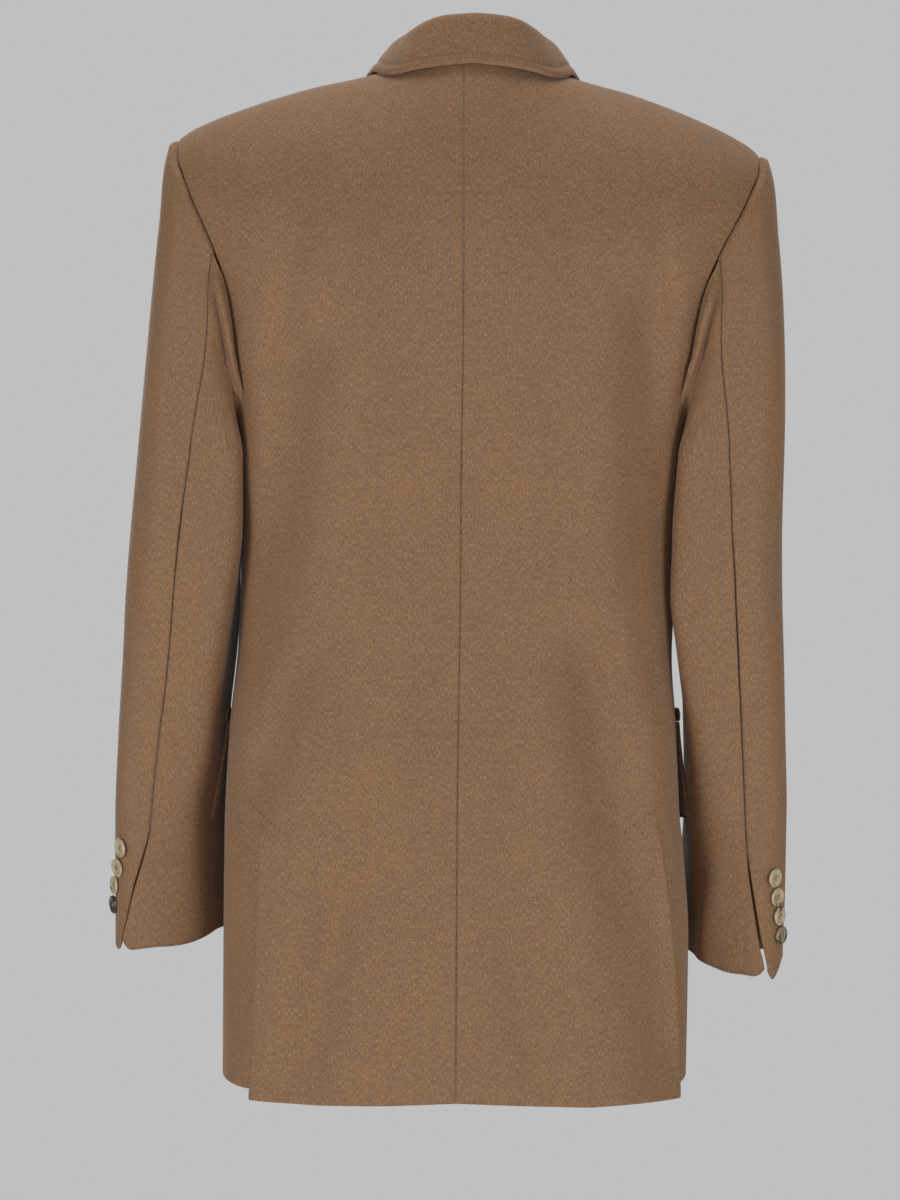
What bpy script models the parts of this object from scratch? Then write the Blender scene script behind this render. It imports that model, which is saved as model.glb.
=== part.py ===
"""A double-breasted wool blazer, filled out as it is worn.

Metres, +Z up. The wearer faces -Y and the wearer's left is +X. The origin lies in the
middle of the neck, level with the shoulders, where the wearer holds the blazer up.

The body is one smooth surface: rings from the hem to the shoulder blades, rounded in
to a shoulder ridge. Each panel is a patch of that surface between its own seams. The
panels are drawn alike on both sides, and settle() then gives them the small unevenness
of a hanging garment. The sleeves are lofted from the armholes to rings down the arm.
"""

import math

import bpy
import bmesh
import numpy as np
from mathutils import Matrix, Vector
from mathutils.bvhtree import BVHTree


def table(names, rows):
    """Named columns of a short table whose first column rises."""
    return dict(zip(names.split(), np.array(rows, dtype=float).T))


# ---- driving sizes ------------------------------------------------------------------

CLOTH = 0.0020            # thickness of the made-up cloth
GAP = 0.0003              # between pieces at a seam

HEM_BACK = -0.7780        # height of the back panels' hem
HEM_SIDE = -0.7670        # of the side panels' hem
HEM_FRONT = -0.7780       # of the fronts' hem at the front edge
BLADE = -0.1600           # above this height the body rounds in to the shoulders
UNDERARM = -0.2620        # lowest point of the armhole
NOTCH = -0.2350           # height where a side panel's seams meet the armhole
SHOULDER = -0.0427        # height of the shoulder point
VENT_TOP = -0.5670        # top of the side vents
UNDERLAP = 0.040          # width of the side panel's extension behind a vent

NECK_HALF = 0.072         # half the width of the neck at the shoulder ridge
NECK_BACK = 0.058         # how far the neck seam stands behind the ridge

OVERLAP = 0.075           # how far a front passes the middle
BREAK = -0.330            # height where the lapel's roll ends at the front edge
GORGE_TURN = 44.0         # how far up the rounding the gorge meets the roll line
UNDER_DROP = 0.0085       # how deep the left front lies under the right one
ROLL_RADIUS = 0.0032      # of a lapel's rolled edge

SIDE_POWER = 2.5          # squareness of the rings at the sides
DEPTH_POWER = 2.1         # and at the back and front

# Rings of the body: half width, and how far the back and front stand off the ridge.
BODY = table("z half back front", (
    (-0.800, 0.1808, 0.126, 0.128),
    (-0.660, 0.1808, 0.122, 0.126),
    (-0.580, 0.1805, 0.119, 0.122),
    (-0.500, 0.1775, 0.115, 0.118),
    (-0.430, 0.1718, 0.111, 0.115),
    (-0.355, 0.1705, 0.110, 0.116),
    (-0.300, 0.1745, 0.114, 0.120),
    (-0.250, 0.1838, 0.118, 0.123),
    (-0.130, 0.2114, 0.121, 0.122),
    (-0.090, 0.2317, 0.121, 0.121),
    (-0.043, 0.2420, 0.120, 0.120),
    (0.060, 0.2420, 0.120, 0.120),
))

# The shoulder ridge, and its run under the neck.
RIDGE = table("x height", (
    (-0.040, 0.0270),
    (0.000, 0.0450),
    (0.040, 0.0270),
    (0.072, 0.0098),
    (0.1275, -0.0034),
    (0.1770, -0.0190),
    (0.2140, -0.0345),
    (0.2255, -0.0427),
    (0.2600, -0.0760),
))

# Half width at the seam between back and side panel, down to the vent edge.
SIDE_SEAM = table("z left right", (
    (-0.800, 0.1545, 0.1665),
    (-0.700, 0.1510, 0.1640),
    (-0.620, 0.1500, 0.1610),
    (-0.567, 0.1500, 0.1590),
    (-0.450, 0.1525, 0.1550),
    (-0.387, 0.1540, 0.1535),
    (-0.357, 0.1565, 0.1545),
    (-0.333, 0.1600, 0.1580),
    (-0.309, 0.1645, 0.1625),
    (-0.270, 0.1700, 0.1695),
    (-0.235, 0.1735, 0.1735),
))

# Half width at the armhole, on the back panel and on the front.
ARMHOLE = table("z back front", (
    (-0.2350, 0.1735, 0.1735),
    (-0.2085, 0.1768, 0.1700),
    (-0.1820, 0.1800, 0.1712),
    (-0.1594, 0.1845, 0.1745),
    (-0.1326, 0.1935, 0.1820),
    (-0.1142, 0.2015, 0.1900),
    (-0.0900, 0.2125, 0.2030),
    (-0.0734, 0.2190, 0.2120),
    (-0.0597, 0.2240, 0.2200),
    (-0.0427, 0.2255, 0.2255),
))

# How the worn garment settles: its middle, its right half's fullness, the back seam.
SETTLE = table("z middle right_share back_seam", (
    (-0.800, 0.0048, 0.985, 0.0000),
    (-0.660, 0.0040, 0.995, 0.0000),
    (-0.600, 0.0036, 0.975, 0.0000),
    (-0.560, 0.0034, 0.956, 0.0000),
    (-0.470, 0.0022, 0.952, 0.0000),
    (-0.400, 0.0010, 0.970, 0.0000),
    (-0.330, 0.0002, 0.976, 0.0005),
    (-0.200, -0.0030, 0.985, 0.0020),
    (-0.060, -0.0050, 1.000, 0.0035),
    (0.000, -0.0085, 1.000, 0.0070),
    (0.060, -0.0116, 1.000, 0.0100),
))
RIGHT_DROP = 0.0125       # how much lower the right shoulder point hangs

# Soft folds: heights of both ends, places of top, middle and foot, width, depth.
FOLD_NAMES = "top foot x_top x_middle x_foot width depth"
BACK_FOLDS = table(FOLD_NAMES, (
    (-0.070, -0.180, 0.123, 0.134, 0.146, 0.012, 0.0025),
    (-0.160, -0.430, 0.104, 0.120, 0.156, 0.018, 0.0050),
    (-0.110, -0.330, 0.150, 0.147, 0.144, 0.016, -0.0030),
    (-0.090, -0.300, -0.152, -0.152, -0.150, 0.016, -0.0030),
    (-0.120, -0.490, -0.114, -0.136, -0.143, 0.016, 0.0050),
    (-0.410, -0.790, -0.078, -0.116, -0.156, 0.022, 0.0065),
    (-0.440, -0.560, 0.084, 0.096, 0.112, 0.016, 0.0030),
    (-0.580, -0.790, 0.060, 0.082, 0.104, 0.020, 0.0055),
    (-0.600, -0.790, -0.010, -0.034, -0.062, 0.016, 0.0030),
))
FRONT_FOLDS = table(FOLD_NAMES, (
    (-0.200, -0.360, 0.150, 0.120, 0.100, 0.018, 0.0040),
    (-0.200, -0.360, -0.150, -0.118, -0.098, 0.018, 0.0040),
    (-0.560, -0.790, 0.120, 0.128, 0.132, 0.022, 0.0050),
    (-0.560, -0.790, -0.116, -0.126, -0.134, 0.022, 0.0050),
))

# Rings down the arms: outer and inner reach, middle and half depth, and how far the
# inner side slants in towards the front.
ARM_NAMES = "z outer inner middle depth slant"
ARM = {
    "left": table(ARM_NAMES, (
        (-0.670, 0.2700, 0.1905, -0.056, 0.0465, 0.0100),
        (-0.620, 0.2700, 0.1905, -0.049, 0.0485, 0.0110),
        (-0.570, 0.2692, 0.1900, -0.038, 0.0520, 0.0130),
        (-0.500, 0.2660, 0.1868, -0.021, 0.0575, 0.0150),
        (-0.440, 0.2632, 0.1795, -0.008, 0.0625, 0.0160),
        (-0.400, 0.2610, 0.1755, -0.001, 0.0655, 0.0160),
        (-0.355, 0.2575, 0.1740, 0.002, 0.0690, 0.0150),
        (-0.290, 0.2515, 0.1785, 0.002, 0.0730, 0.0120),
    )),
    "right": table(ARM_NAMES, (
        (-0.690, 0.2530, 0.1788, -0.052, 0.0450, 0.0080),
        (-0.630, 0.2545, 0.1788, -0.046, 0.0470, 0.0090),
        (-0.570, 0.2547, 0.1790, -0.036, 0.0515, 0.0100),
        (-0.500, 0.2525, 0.1756, -0.020, 0.0570, 0.0120),
        (-0.440, 0.2505, 0.1733, -0.008, 0.0620, 0.0130),
        (-0.400, 0.2490, 0.1703, -0.002, 0.0650, 0.0130),
        (-0.355, 0.2485, 0.1680, 0.001, 0.0690, 0.0130),
        (-0.290, 0.2500, 0.1755, 0.001, 0.0730, 0.0120),
    )),
}
CUFF = {                  # height of the cuff's middle, rise to the body, rise forwards
    "left": (-0.6655, 0.19, 0.10),
    "right": (-0.6870, 0.30, 0.10),
}
CUFF_VENT_TOP = {"left": -0.572, "right": -0.592}
CUFF_VENT_OPEN = 0.0026   # width of the cuff vent at its foot
BICEP = -0.290            # height of the ring that ends the sleeve cap
ARM_POWER = 2.15

# The sleeve's back seam as an angle from straight back towards the outside.
BACK_SEAM = {
    "left": table("z turn", ((-0.680, 60.0), (-0.657, 51.0), (-0.620, 36.0), (-0.595, 23.0),
                             (-0.573, 14.5), (-0.538, 10.5), (-0.507, 7.5), (-0.467, 4.0),
                             (-0.400, 2.8), (-0.365, 1.5), (-0.328, -2.0), (-0.290, -9.0))),
    "right": table("z turn", ((-0.700, 38.0), (-0.680, 32.0), (-0.6475, 21.0),
                              (-0.6246, 14.5), (-0.6067, 9.8), (-0.5916, 6.8),
                              (-0.5704, 4.0), (-0.5234, 2.0), (-0.4307, -0.2),
                              (-0.3847, -0.5), (-0.3391, -3.3), (-0.290, -11.0))),
}
FRONT_SEAM = 215.0

# Steps round the armhole from the shoulder point, down the back and up the front.
ARMHOLE_STEPS = 28
BACK_SEAM_STEP = 7        # where the sleeve's back seam starts
FRONT_SEAM_STEP = 18      # and its front seam

# How a sleeve leaves the armhole, by steps from the shoulder: share along the body's
# own run, and handle length.
HEAD = table("step along handle", (
    (0.0, 0.985, 0.0125),
    (2.8, 0.93, 0.0150),
    (5.5, 0.80, 0.0180),
    (9.0, 0.55, 0.0170),
    (11.5, 0.15, 0.0110),
    (14.0, -0.20, 0.0070),
))

# The lapel: place along the roll line, width across it, rise of its outer edge.
LAPEL = table("along width rise", (
    (0.00, 0.0060, 0.000),
    (0.12, 0.0270, 0.000),
    (0.35, 0.0560, 0.000),
    (0.65, 0.0800, 0.002),
    (0.85, 0.0930, 0.012),
    (1.00, 0.0965, 0.024),
))
GORGE_WIDTH = 0.058       # from the roll line to the inner corner of the notch
GORGE_FALL = -0.0086
COLLAR_POINT = (0.0640, 0.0170)

# The collar's fold and edge from the back seam to just before the gorge. Turns up to
# 90 go round the back of the neck; from there on, the foot follows the roll line.
COLLAR = table("turn fold_x fold_y fold_z edge_x edge_y edge_z", (
    (0.0, 0.0000, 0.0490, 0.0490, 0.0000, 0.0722, 0.0095),
    (20.0, 0.0209, 0.0455, 0.0479, 0.0273, 0.0663, 0.0076),
    (38.0, 0.0344, 0.0396, 0.0456, 0.0461, 0.0583, 0.0054),
    (54.0, 0.0434, 0.0307, 0.0424, 0.0600, 0.0490, 0.0040),
    (68.0, 0.0499, 0.0190, 0.0385, 0.0700, 0.0350, 0.0066),
    (80.0, 0.0538, 0.0056, 0.0342, 0.0762, 0.0185, 0.0102),
    (90.0, 0.0558, -0.0080, 0.0295, 0.0795, 0.0020, 0.0112),
    (100.0, 0.0576, -0.0296, 0.0208, 0.0859, -0.0230, 0.0066),
    (111.0, 0.0580, -0.0499, 0.0092, 0.0949, -0.0463, -0.0052),
    (123.0, 0.0566, -0.0692, -0.0038, 0.1051, -0.0640, -0.0207),
))
COLLAR_ROLL = 0.0042      # outer radius of the collar's fold
COLLAR_INSET = 0.0026     # of the collar's visible face from the neck seam

FLAP_TOP = -0.4950
FLAP_FOOT = -0.5710
FLAP_TURNS = (92.0, 151.0)   # ring angles of the flap's back and front ends
FLAP_FLARE = {"left": 0.0100, "right": 0.0050}
JET_TOP = -0.4840

BUTTON_ROWS = (-0.352, -0.452, -0.552)
BUTTON_COLUMN = 0.058
FRONT_BUTTON = (0.0100, 0.0036)    # radius, thickness
CUFF_BUTTON = (0.0075, 0.0030)
CUFF_PITCH = 0.0153
CUFF_INSET = 0.0190       # of the button row from the vent edge
CUFF_FIRST = {"left": -0.5920, "right": -0.6155}

WOOL = (0.262, 0.152, 0.088)
HORN = (0.520, 0.420, 0.270)
HORN_DARK = (0.150, 0.100, 0.060)


# ---- reading the tables -------------------------------------------------------------

def read(chart, name, place):
    """Smooth value of one column where the chart's first column equals place."""
    keys = next(iter(chart.values()))
    values = chart[name]
    steps = np.diff(keys)
    rises = np.diff(values) / steps
    before, after = rises[:-1], rises[1:]
    agree = before * after > 0
    slopes = np.concatenate((rises[:1], np.zeros(len(keys) - 2), rises[-1:]))
    slopes[1:-1][agree] = 2 * before[agree] * after[agree] / (before + after)[agree]
    place = np.clip(place, keys[0], keys[-1])
    cell = np.clip(np.searchsorted(keys, place) - 1, 0, len(steps) - 1)
    step = steps[cell]
    t = (place - keys[cell]) / step
    start = (1 + 2 * t) * (1 - t) ** 2 * values[cell]
    start_slope = t * (1 - t) ** 2 * step * slopes[cell]
    end = t * t * (3 - 2 * t) * values[cell + 1]
    end_slope = t * t * (t - 1) * step * slopes[cell + 1]
    return start + start_slope + end + end_slope


def ease(low, high, value):
    """Rise smoothly from 0 at low to 1 at high."""
    t = np.clip((value - low) / (high - low), 0.0, 1.0)
    return t * t * (3 - 2 * t)


def seamed(count, edge=0.010):
    """Places from 0 to 1, even but for a narrow strip along each seam."""
    return np.concatenate(((0.0,), np.linspace(edge, 1.0 - edge, count - 2), (1.0,)))


def unit(vectors):
    return vectors / np.linalg.norm(vectors, axis=-1, keepdims=True)


# ---- the body's surface -------------------------------------------------------------

def side_name(sign):
    return "left" if sign > 0 else "right"


def climb(x, z):
    """0 at the shoulder blades, 1 on the shoulder ridge above x."""
    ridge = read(RIDGE, "height", np.abs(x))
    return np.clip((z - BLADE) / (ridge - BLADE), 0.0, 1.0)


def ring_depth(x, z, face):
    """Depth left at x of the back (face 1) or front (face -1), before rounding in."""
    depth = read(BODY, "back" if face > 0 else "front", z)
    across = np.clip(np.abs(x) / read(BODY, "half", z), 0.0, 1.0)
    return depth * (1 - across ** SIDE_POWER) ** (1 / DEPTH_POWER)


def fold_depth(x, z, face):
    """How far the soft folds press the cloth in."""
    folds = BACK_FOLDS if face > 0 else FRONT_FOLDS
    depth = np.zeros(np.broadcast(x, z).shape)
    for top, foot, x_top, x_middle, x_foot, width, deep in zip(*folds.values()):
        t = np.clip((top - z) / (top - foot), 0.0, 1.0)
        centre = (1 - t) ** 2 * x_top + t * t * x_foot
        centre = centre + 2 * t * (1 - t) * (2 * x_middle - 0.5 * (x_top + x_foot))
        ends = ease(top, top - 0.05, z) * ease(foot - 0.02, foot + 0.05, z)
        depth = depth + deep * ends * np.exp(-((x - centre) / width) ** 2)
    return depth


def plain_y(x, z, face):
    return face * ring_depth(x, z, face) * np.sqrt(1 - climb(x, z) ** 2)


def body_y(x, z, face):
    fade = 1 - ease(0.12, 0.19, np.abs(x))
    return plain_y(x, z, face) - face * fold_depth(x, z, face) * fade * np.sqrt(1 - climb(x, z) ** 2)


def body_normal(x, y, z):
    """Outward direction of the body without its folds."""
    face = np.where(y >= 0, 1.0, -1.0)
    half = read(BODY, "half", z)
    depth = np.where(y >= 0, read(BODY, "back", z), read(BODY, "front", z))
    across = np.clip(np.abs(x) / half, 0.0, 1.0) ** (SIDE_POWER - 1) * SIDE_POWER / half
    inward = np.clip(np.abs(y) / depth, 0.0, 1.0) ** (DEPTH_POWER - 1) * DEPTH_POWER / depth
    ring = unit(np.stack((np.sign(x) * across, face * inward, 0.0 * z), axis=-1))
    step = 0.0004
    slopes = []
    for dx, dz in ((step, 0.0), (0.0, step)):
        back = plain_y(x + dx, z + dz, 1) - plain_y(x - dx, z - dz, 1)
        front = plain_y(x + dx, z + dz, -1) - plain_y(x - dx, z - dz, -1)
        slopes.append(np.where(y >= 0, back, front) / (2 * step))
    high = unit(np.stack((-face * slopes[0], face, -face * slopes[1]), axis=-1))
    share = ease(BLADE - 0.03, BLADE, z)[..., None]
    return unit(ring * (1 - share) + high * share)


def settle(x, y, z):
    """Place a point of the even pattern on the worn, slightly uneven garment."""
    share = np.where(x < 0, read(SETTLE, "right_share", z), 1.0)
    high = np.clip((z - UNDERARM) / (SHOULDER - UNDERARM), 0.0, 1.0)
    wide = np.clip(-x / 0.2255, 0.0, 1.1) ** 1.4
    world_x = read(SETTLE, "middle", z) + x * share
    return np.stack(np.broadcast_arrays(world_x, y, z - RIGHT_DROP * high * wide), axis=-1)


def lifted(x, z, face, lift):
    """Points on the back or front, moved out by lift."""
    y = body_y(x, z, face)
    out = body_normal(x, y, z)
    return (x + out[..., 0] * lift, y + out[..., 1] * lift, z + out[..., 2] * lift)


def side_turn(x, z):
    """Ring angle from straight back of the ring point at half width x."""
    across = np.clip(x / read(BODY, "half", z), 0.0, 1.0)
    return np.degrees(np.arcsin(across ** (SIDE_POWER / 2)))


def ring_point(sign, turn, z, lift):
    """Point of a ring at an angle from straight back, moved out by lift."""
    sine = np.sin(np.radians(turn))
    cosine = np.cos(np.radians(turn))
    x = sign * read(BODY, "half", z) * sine ** (2 / SIDE_POWER)
    depth = np.where(cosine > 0, read(BODY, "back", z), read(BODY, "front", z))
    y = depth * np.sign(cosine) * np.abs(cosine) ** (2 / DEPTH_POWER)
    fade = 1 - ease(0.12, 0.19, np.abs(x))
    press = np.where(cosine > 0, fold_depth(x, z, 1), -fold_depth(x, z, -1))
    out = body_normal(x, y, z)
    return x + out[..., 0] * lift, y - press * fade + out[..., 1] * lift, z + 0 * turn


# ---- making sheets ------------------------------------------------------------------

def material(name, colour, roughness):
    made = bpy.data.materials.new(name)
    made.use_nodes = True
    shader = made.node_tree.nodes["Principled BSDF"]
    shader.inputs["Base Color"].default_value = (*colour, 1.0)
    shader.inputs["Roughness"].default_value = roughness
    shader.inputs["Metallic"].default_value = 0.0
    made.diffuse_color = (*colour, 1.0)
    return made


def keep(name, mesh, colour, roughness):
    piece = bpy.data.objects.new(name, mesh)
    mesh.materials.append(material(name, colour, roughness))
    bpy.data.collections["blazer"].objects.link(piece)
    return piece


def cloth(name, points, out, leave_out=None, thickness=CLOTH):
    """A wall of cloth under a grid of points; out is a rough outward direction."""
    rows, columns = points.shape[:2]
    build = bmesh.new()
    grid = [[build.verts.new(points[r, c]) for c in range(columns)] for r in range(rows)]
    for r in range(rows - 1):
        for c in range(columns - 1):
            if leave_out is None or not leave_out(r, c):
                build.faces.new((grid[r][c], grid[r][c + 1], grid[r + 1][c + 1], grid[r + 1][c]))
    loose = [vert for vert in build.verts if not vert.link_faces]
    bmesh.ops.delete(build, geom=loose, context="VERTS")
    middle = points[rows // 2, columns // 2]
    nearest = min(build.faces, key=lambda face: (face.calc_center_median() - Vector(middle)).length)
    nearest.normal_update()
    if nearest.normal.dot(Vector(out)) < 0:
        bmesh.ops.reverse_faces(build, faces=build.faces[:])
    mesh = bpy.data.meshes.new(name)
    build.to_mesh(mesh)
    build.free()
    mesh.shade_smooth()
    piece = keep(name, mesh, WOOL, 0.9)
    wall = piece.modifiers.new("wall", "SOLIDIFY")
    wall.thickness = thickness
    wall.offset = -1.0
    wall.use_even_offset = False
    return piece


# ---- back, front and side panels ----------------------------------------------------

def edge_half(sign, z, face):
    """Half width at a panel's outer edge: the side seam, then the armhole."""
    seam = read(SIDE_SEAM, side_name(sign), z)
    armhole = read(ARMHOLE, "back" if face > 0 else "front", z)
    return np.where(z < NOTCH, seam, armhole)


def front_seam_half(sign, z):
    """The seam between front and side panel, mirrored from an even side seam."""
    seam = read(SIDE_SEAM, "left", np.maximum(z, -0.45))
    return np.where(z < NOTCH, seam, read(ARMHOLE, "front", z))


def low_heights():
    """Row heights from just above the hem to the shoulder blades."""
    return np.array((-0.720, -0.650, VENT_TOP - 0.014, VENT_TOP, -0.510, -0.450, -0.390,
                     BREAK, -0.290, -0.262, NOTCH, -0.210, -0.185, BLADE))


# The rounding in above the blades, in degrees: 0 at the blades, 90 on the ridge.
ROUND_TURNS = (12.0, 24.0, 34.0, GORGE_TURN, 57.0, 69.0, 80.0, 88.0, 90.0)


def high_heights():
    """Row heights on the armhole from the shoulder blades to the shoulder point."""
    return BLADE + (SHOULDER - BLADE) * np.sin(np.radians(ROUND_TURNS))


def neck_columns(start, edge):
    """Columns of a back panel along the neck and shoulder seams."""
    neck = NECK_HALF * np.sin(np.radians(COLLAR["turn"][1:7]))
    middle = 0.0 if start < 0 else 0.017
    outer = (0.100, 0.140, 0.180, edge - 0.002, edge)
    return np.concatenate(((start, start + 0.002, middle), neck, outer))


def neck_climb(x):
    """How far a column of the back rises before the neck seam cuts it."""
    across = np.clip(np.abs(x) / NECK_HALF, 0.0, 1.0)
    seam_y = NECK_BACK * np.sqrt(1 - across ** 2)
    return np.sqrt(1 - (seam_y / ring_depth(x, 0.0, 1)) ** 2)


def back_rows(sign, across):
    """Even-pattern x and z of a back panel, row by row from the hem up."""
    rows = []
    top = read(SETTLE, "back_seam", 0.0) * sign + 0.5 * GAP
    at_neck = neck_columns(top, edge_half(sign, SHOULDER, 1) - 0.5 * GAP)
    focus = (at_neck - at_neck[0]) / (at_neck[-1] - at_neck[0])
    for z in np.concatenate(((HEM_BACK,), low_heights())):
        start = sign * read(SETTLE, "back_seam", z) + 0.5 * GAP
        x = start + across * (edge_half(sign, z, 1) - 0.5 * GAP - start)
        rows.append((sign * x, np.full_like(x, z)))
    for z in high_heights():
        edge = edge_half(sign, z, 1) - 0.5 * GAP
        level = climb(edge, z) if z < SHOULDER - 1e-6 else 1.0
        height = BLADE + (0.02 - BLADE) * level
        start = sign * read(SETTLE, "back_seam", height) + 0.5 * GAP
        places = across + (focus - across) * min(level / 0.87, 1.0) ** 2
        x = start + places * (edge - start)
        ridge = read(RIDGE, "height", np.abs(x))
        rows.append((sign * x, BLADE + (ridge - BLADE) * level * neck_climb(x)))
    return rows


def vent_lift(sign, x, z):
    """How far a back panel stands off near its vent edge."""
    below = ease(VENT_TOP, VENT_TOP - 0.014, z)
    foot = ease(VENT_TOP, HEM_BACK, z)
    flare = 0.0030 if sign > 0 else 0.0070
    near = ease(0.060, 0.0, edge_half(sign, z, 1) - np.abs(x))
    return (0.0024 * below + flare * foot) * near


def make_back(sign):
    across = seamed(14)
    points = []
    for x, z in back_rows(sign, across):
        lift = vent_lift(sign, x, z)
        px, py, pz = lifted(x, z, 1, lift)
        seam_gap = np.where(z > BLADE, 0.5 * GAP * climb(x, z), 0.0)
        points.append(settle(px, py + seam_gap, pz))
    return cloth("back_" + side_name(sign), np.array(points), (0, 1, 0))


def roll_x(z):
    """Even-pattern x of a front's inner edge: front edge, then roll line."""
    slant = (NECK_HALF + OVERLAP) / (read(RIDGE, "height", NECK_HALF) - BREAK)
    return np.where(z < BREAK, -OVERLAP, -OVERLAP + (z - BREAK) * slant)


def roll_crossing(level):
    """Even-pattern x where the roll line reaches a level of the rounding in."""
    x = np.linspace(-OVERLAP, NECK_HALF, 300)
    slant = (read(RIDGE, "height", NECK_HALF) - BREAK) / (NECK_HALF + OVERLAP)
    line_z = BREAK + (x + OVERLAP) * slant
    return np.interp(level, (line_z - BLADE) / (read(RIDGE, "height", np.abs(x)) - BLADE), x)


def front_rows(sign, across):
    rows = []
    for z in np.concatenate(((HEM_FRONT,), low_heights())):
        start = roll_x(z)
        x = start + across * (front_seam_half(sign, z) - 0.5 * GAP - start)
        height = np.full_like(x, z)
        if z == HEM_FRONT:
            middle = np.clip(1 - np.abs(x) / 0.15, 0.0, 1.0)
            height = HEM_SIDE + (HEM_FRONT - HEM_SIDE) * middle ** 0.7
            height = height + (0.0020 if sign > 0 else 0.0)
        rows.append((x, height))
    for z in high_heights():
        edge = edge_half(sign, z, -1) - 0.5 * GAP
        level = climb(edge, z) if z < SHOULDER - 1e-6 else 1.0
        start = roll_crossing(level)
        x = start + across * (edge - start)
        ridge = read(RIDGE, "height", np.abs(x))
        rows.append((x, BLADE + (ridge - BLADE) * level))
    return rows


def front_lift(sign, x, z):
    """The left front lies under the right one where they overlap."""
    if sign < 0:
        return 0.0 * x
    right_edge = -roll_x(z)
    return -UNDER_DROP * ease(right_edge + 0.085, right_edge + 0.004, x)


def front_point(sign, x, z, lift):
    """Settled point of a front at even-pattern x, counted towards its own side."""
    px, py, pz = lifted(sign * x, z, -1, lift + front_lift(sign, x, z))
    return settle(px, py, pz)


def make_front(sign):
    across = seamed(14)
    points = []
    for x, z in front_rows(sign, across):
        seam_gap = np.where(z > BLADE, 0.5 * GAP * climb(x, z), 0.0)
        row = front_point(sign, x, z, 0.0)
        row[:, 1] -= seam_gap
        points.append(row)
    return cloth("front_" + side_name(sign), np.array(points), (0, -1, 0))


def underarm_height(turn, back_turn, front_turn):
    """Height of the armhole's foot along a side panel's top edge."""
    across = (turn - 0.5 * (back_turn + front_turn)) / (0.5 * (front_turn - back_turn))
    return UNDERARM + (NOTCH - UNDERARM) * np.abs(across) ** 2.6


def side_turns(sign, z):
    back_turn = side_turn(read(SIDE_SEAM, side_name(sign), z), z)
    front_turn = 180.0 - side_turn(front_seam_half(sign, z), z)
    return back_turn, front_turn


def make_side(sign):
    lap = np.linspace(-1.0, -0.12, 4)
    across = seamed(9, 0.014)
    notch_back, notch_front = side_turns(sign, NOTCH)
    points = []
    levels = np.concatenate((low_heights()[:9], (-0.275,)))
    for step, z in enumerate(np.concatenate(((HEM_SIDE,), levels, (NOTCH,)))):
        back_turn, front_turn = side_turns(sign, z)
        half_gap = np.degrees(0.5 * GAP / 0.07)
        turn = back_turn + half_gap + across * (front_turn - back_turn - 2 * half_gap)
        height = np.full_like(turn, z)
        if step == len(levels) + 1:
            height = underarm_height(turn, notch_back, notch_front) - 0.5 * GAP
        if step == 0:
            height = height - 0.0045 * ease(0.5, 0.0, across)
        extra = back_turn + half_gap + lap * np.degrees(UNDERLAP / 0.085)
        turn = np.concatenate((extra, turn))
        height = np.concatenate((np.full_like(extra, height[0]), height))
        below = ease(VENT_TOP + 0.010, VENT_TOP - 0.014, z)
        near = ease(back_turn + 9.0, back_turn + 0.5, turn)
        tucked = 0.0024 * ease(back_turn - 2.0, back_turn - 22.0, turn)
        px, py, pz = ring_point(sign, turn, height, -(0.0011 * near + tucked) * below)
        points.append(settle(px, py, pz))
    lap_rows = 3
    return cloth("side_" + side_name(sign), np.array(points), (sign, 0, 0),
                 lambda r, c: r >= lap_rows and c < len(lap))


# ---- armhole and sleeve -------------------------------------------------------------

def armhole_half(sign, face):
    """Even-pattern points of one panel's armhole, from the shoulder down."""
    z = np.concatenate(((SHOULDER,), high_heights()[-3::-1], low_heights()[:-5:-1]))
    x = sign * read(ARMHOLE, "back" if face > 0 else "front", z)
    return np.stack((x, body_y(x, z, face), z), axis=-1)


def armhole_under(sign):
    """The points between, along the top of the side panel."""
    back_turn, front_turn = side_turns(sign, NOTCH)
    turn = back_turn + seamed(9, 0.014)[2:-2] * (front_turn - back_turn)
    height = underarm_height(turn, back_turn, front_turn)
    return np.stack(ring_point(sign, turn, height, 0.0), axis=-1)


def armhole_loop(sign):
    """Settled points round the armhole, the outward normals and the run there."""
    back, under, front = armhole_half(sign, 1), armhole_under(sign), armhole_half(sign, -1)
    loop = np.concatenate((back, under, front[:0:-1]))
    out = body_normal(*loop.T)
    points = settle(*loop.T)
    run = unit(np.roll(points, -1, axis=0) - np.roll(points, 1, axis=0))
    return points, out, run


def at_step(values, step):
    """Smooth values between the steps of the armhole, which closes on itself."""
    low = np.floor(step).astype(int)
    part = (step - low)[..., None]
    before, start, end, after = (values[(low + k) % ARMHOLE_STEPS] for k in (-1, 0, 1, 2))
    bend = 0.5 * part * (1 - part) * ((1 - part) * (end - before) - part * (after - start))
    return start + (end - start) * part * part * (3 - 2 * part) + bend


def arm_ring(side, turn, z):
    """Point of a sleeve ring; turn is measured from straight back to the outside."""
    sign = 1.0 if side == "left" else -1.0
    chart = ARM[side]
    outer, inner = read(chart, "outer", z), read(chart, "inner", z)
    middle, depth = read(chart, "middle", z), read(chart, "depth", z)
    sine, cosine = np.sin(np.radians(turn)), np.cos(np.radians(turn))
    ahead = np.sign(cosine) * np.abs(cosine) ** (2 / ARM_POWER)
    x = 0.5 * (outer + inner) + 0.5 * (outer - inner) * np.sign(sine) * np.abs(sine) ** (2 / ARM_POWER)
    x = x + read(chart, "slant", z) * ahead * np.clip(-sine, 0.0, 1.0) ** 1.5
    return np.stack(np.broadcast_arrays(sign * x, middle + depth * ahead, z), axis=-1)


def cuff_height(side, turn):
    middle, to_body, forwards = CUFF[side]
    sine, cosine = np.sin(np.radians(turn)), np.cos(np.radians(turn))
    return middle - to_body * 0.040 * sine - forwards * 0.046 * cosine


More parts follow.
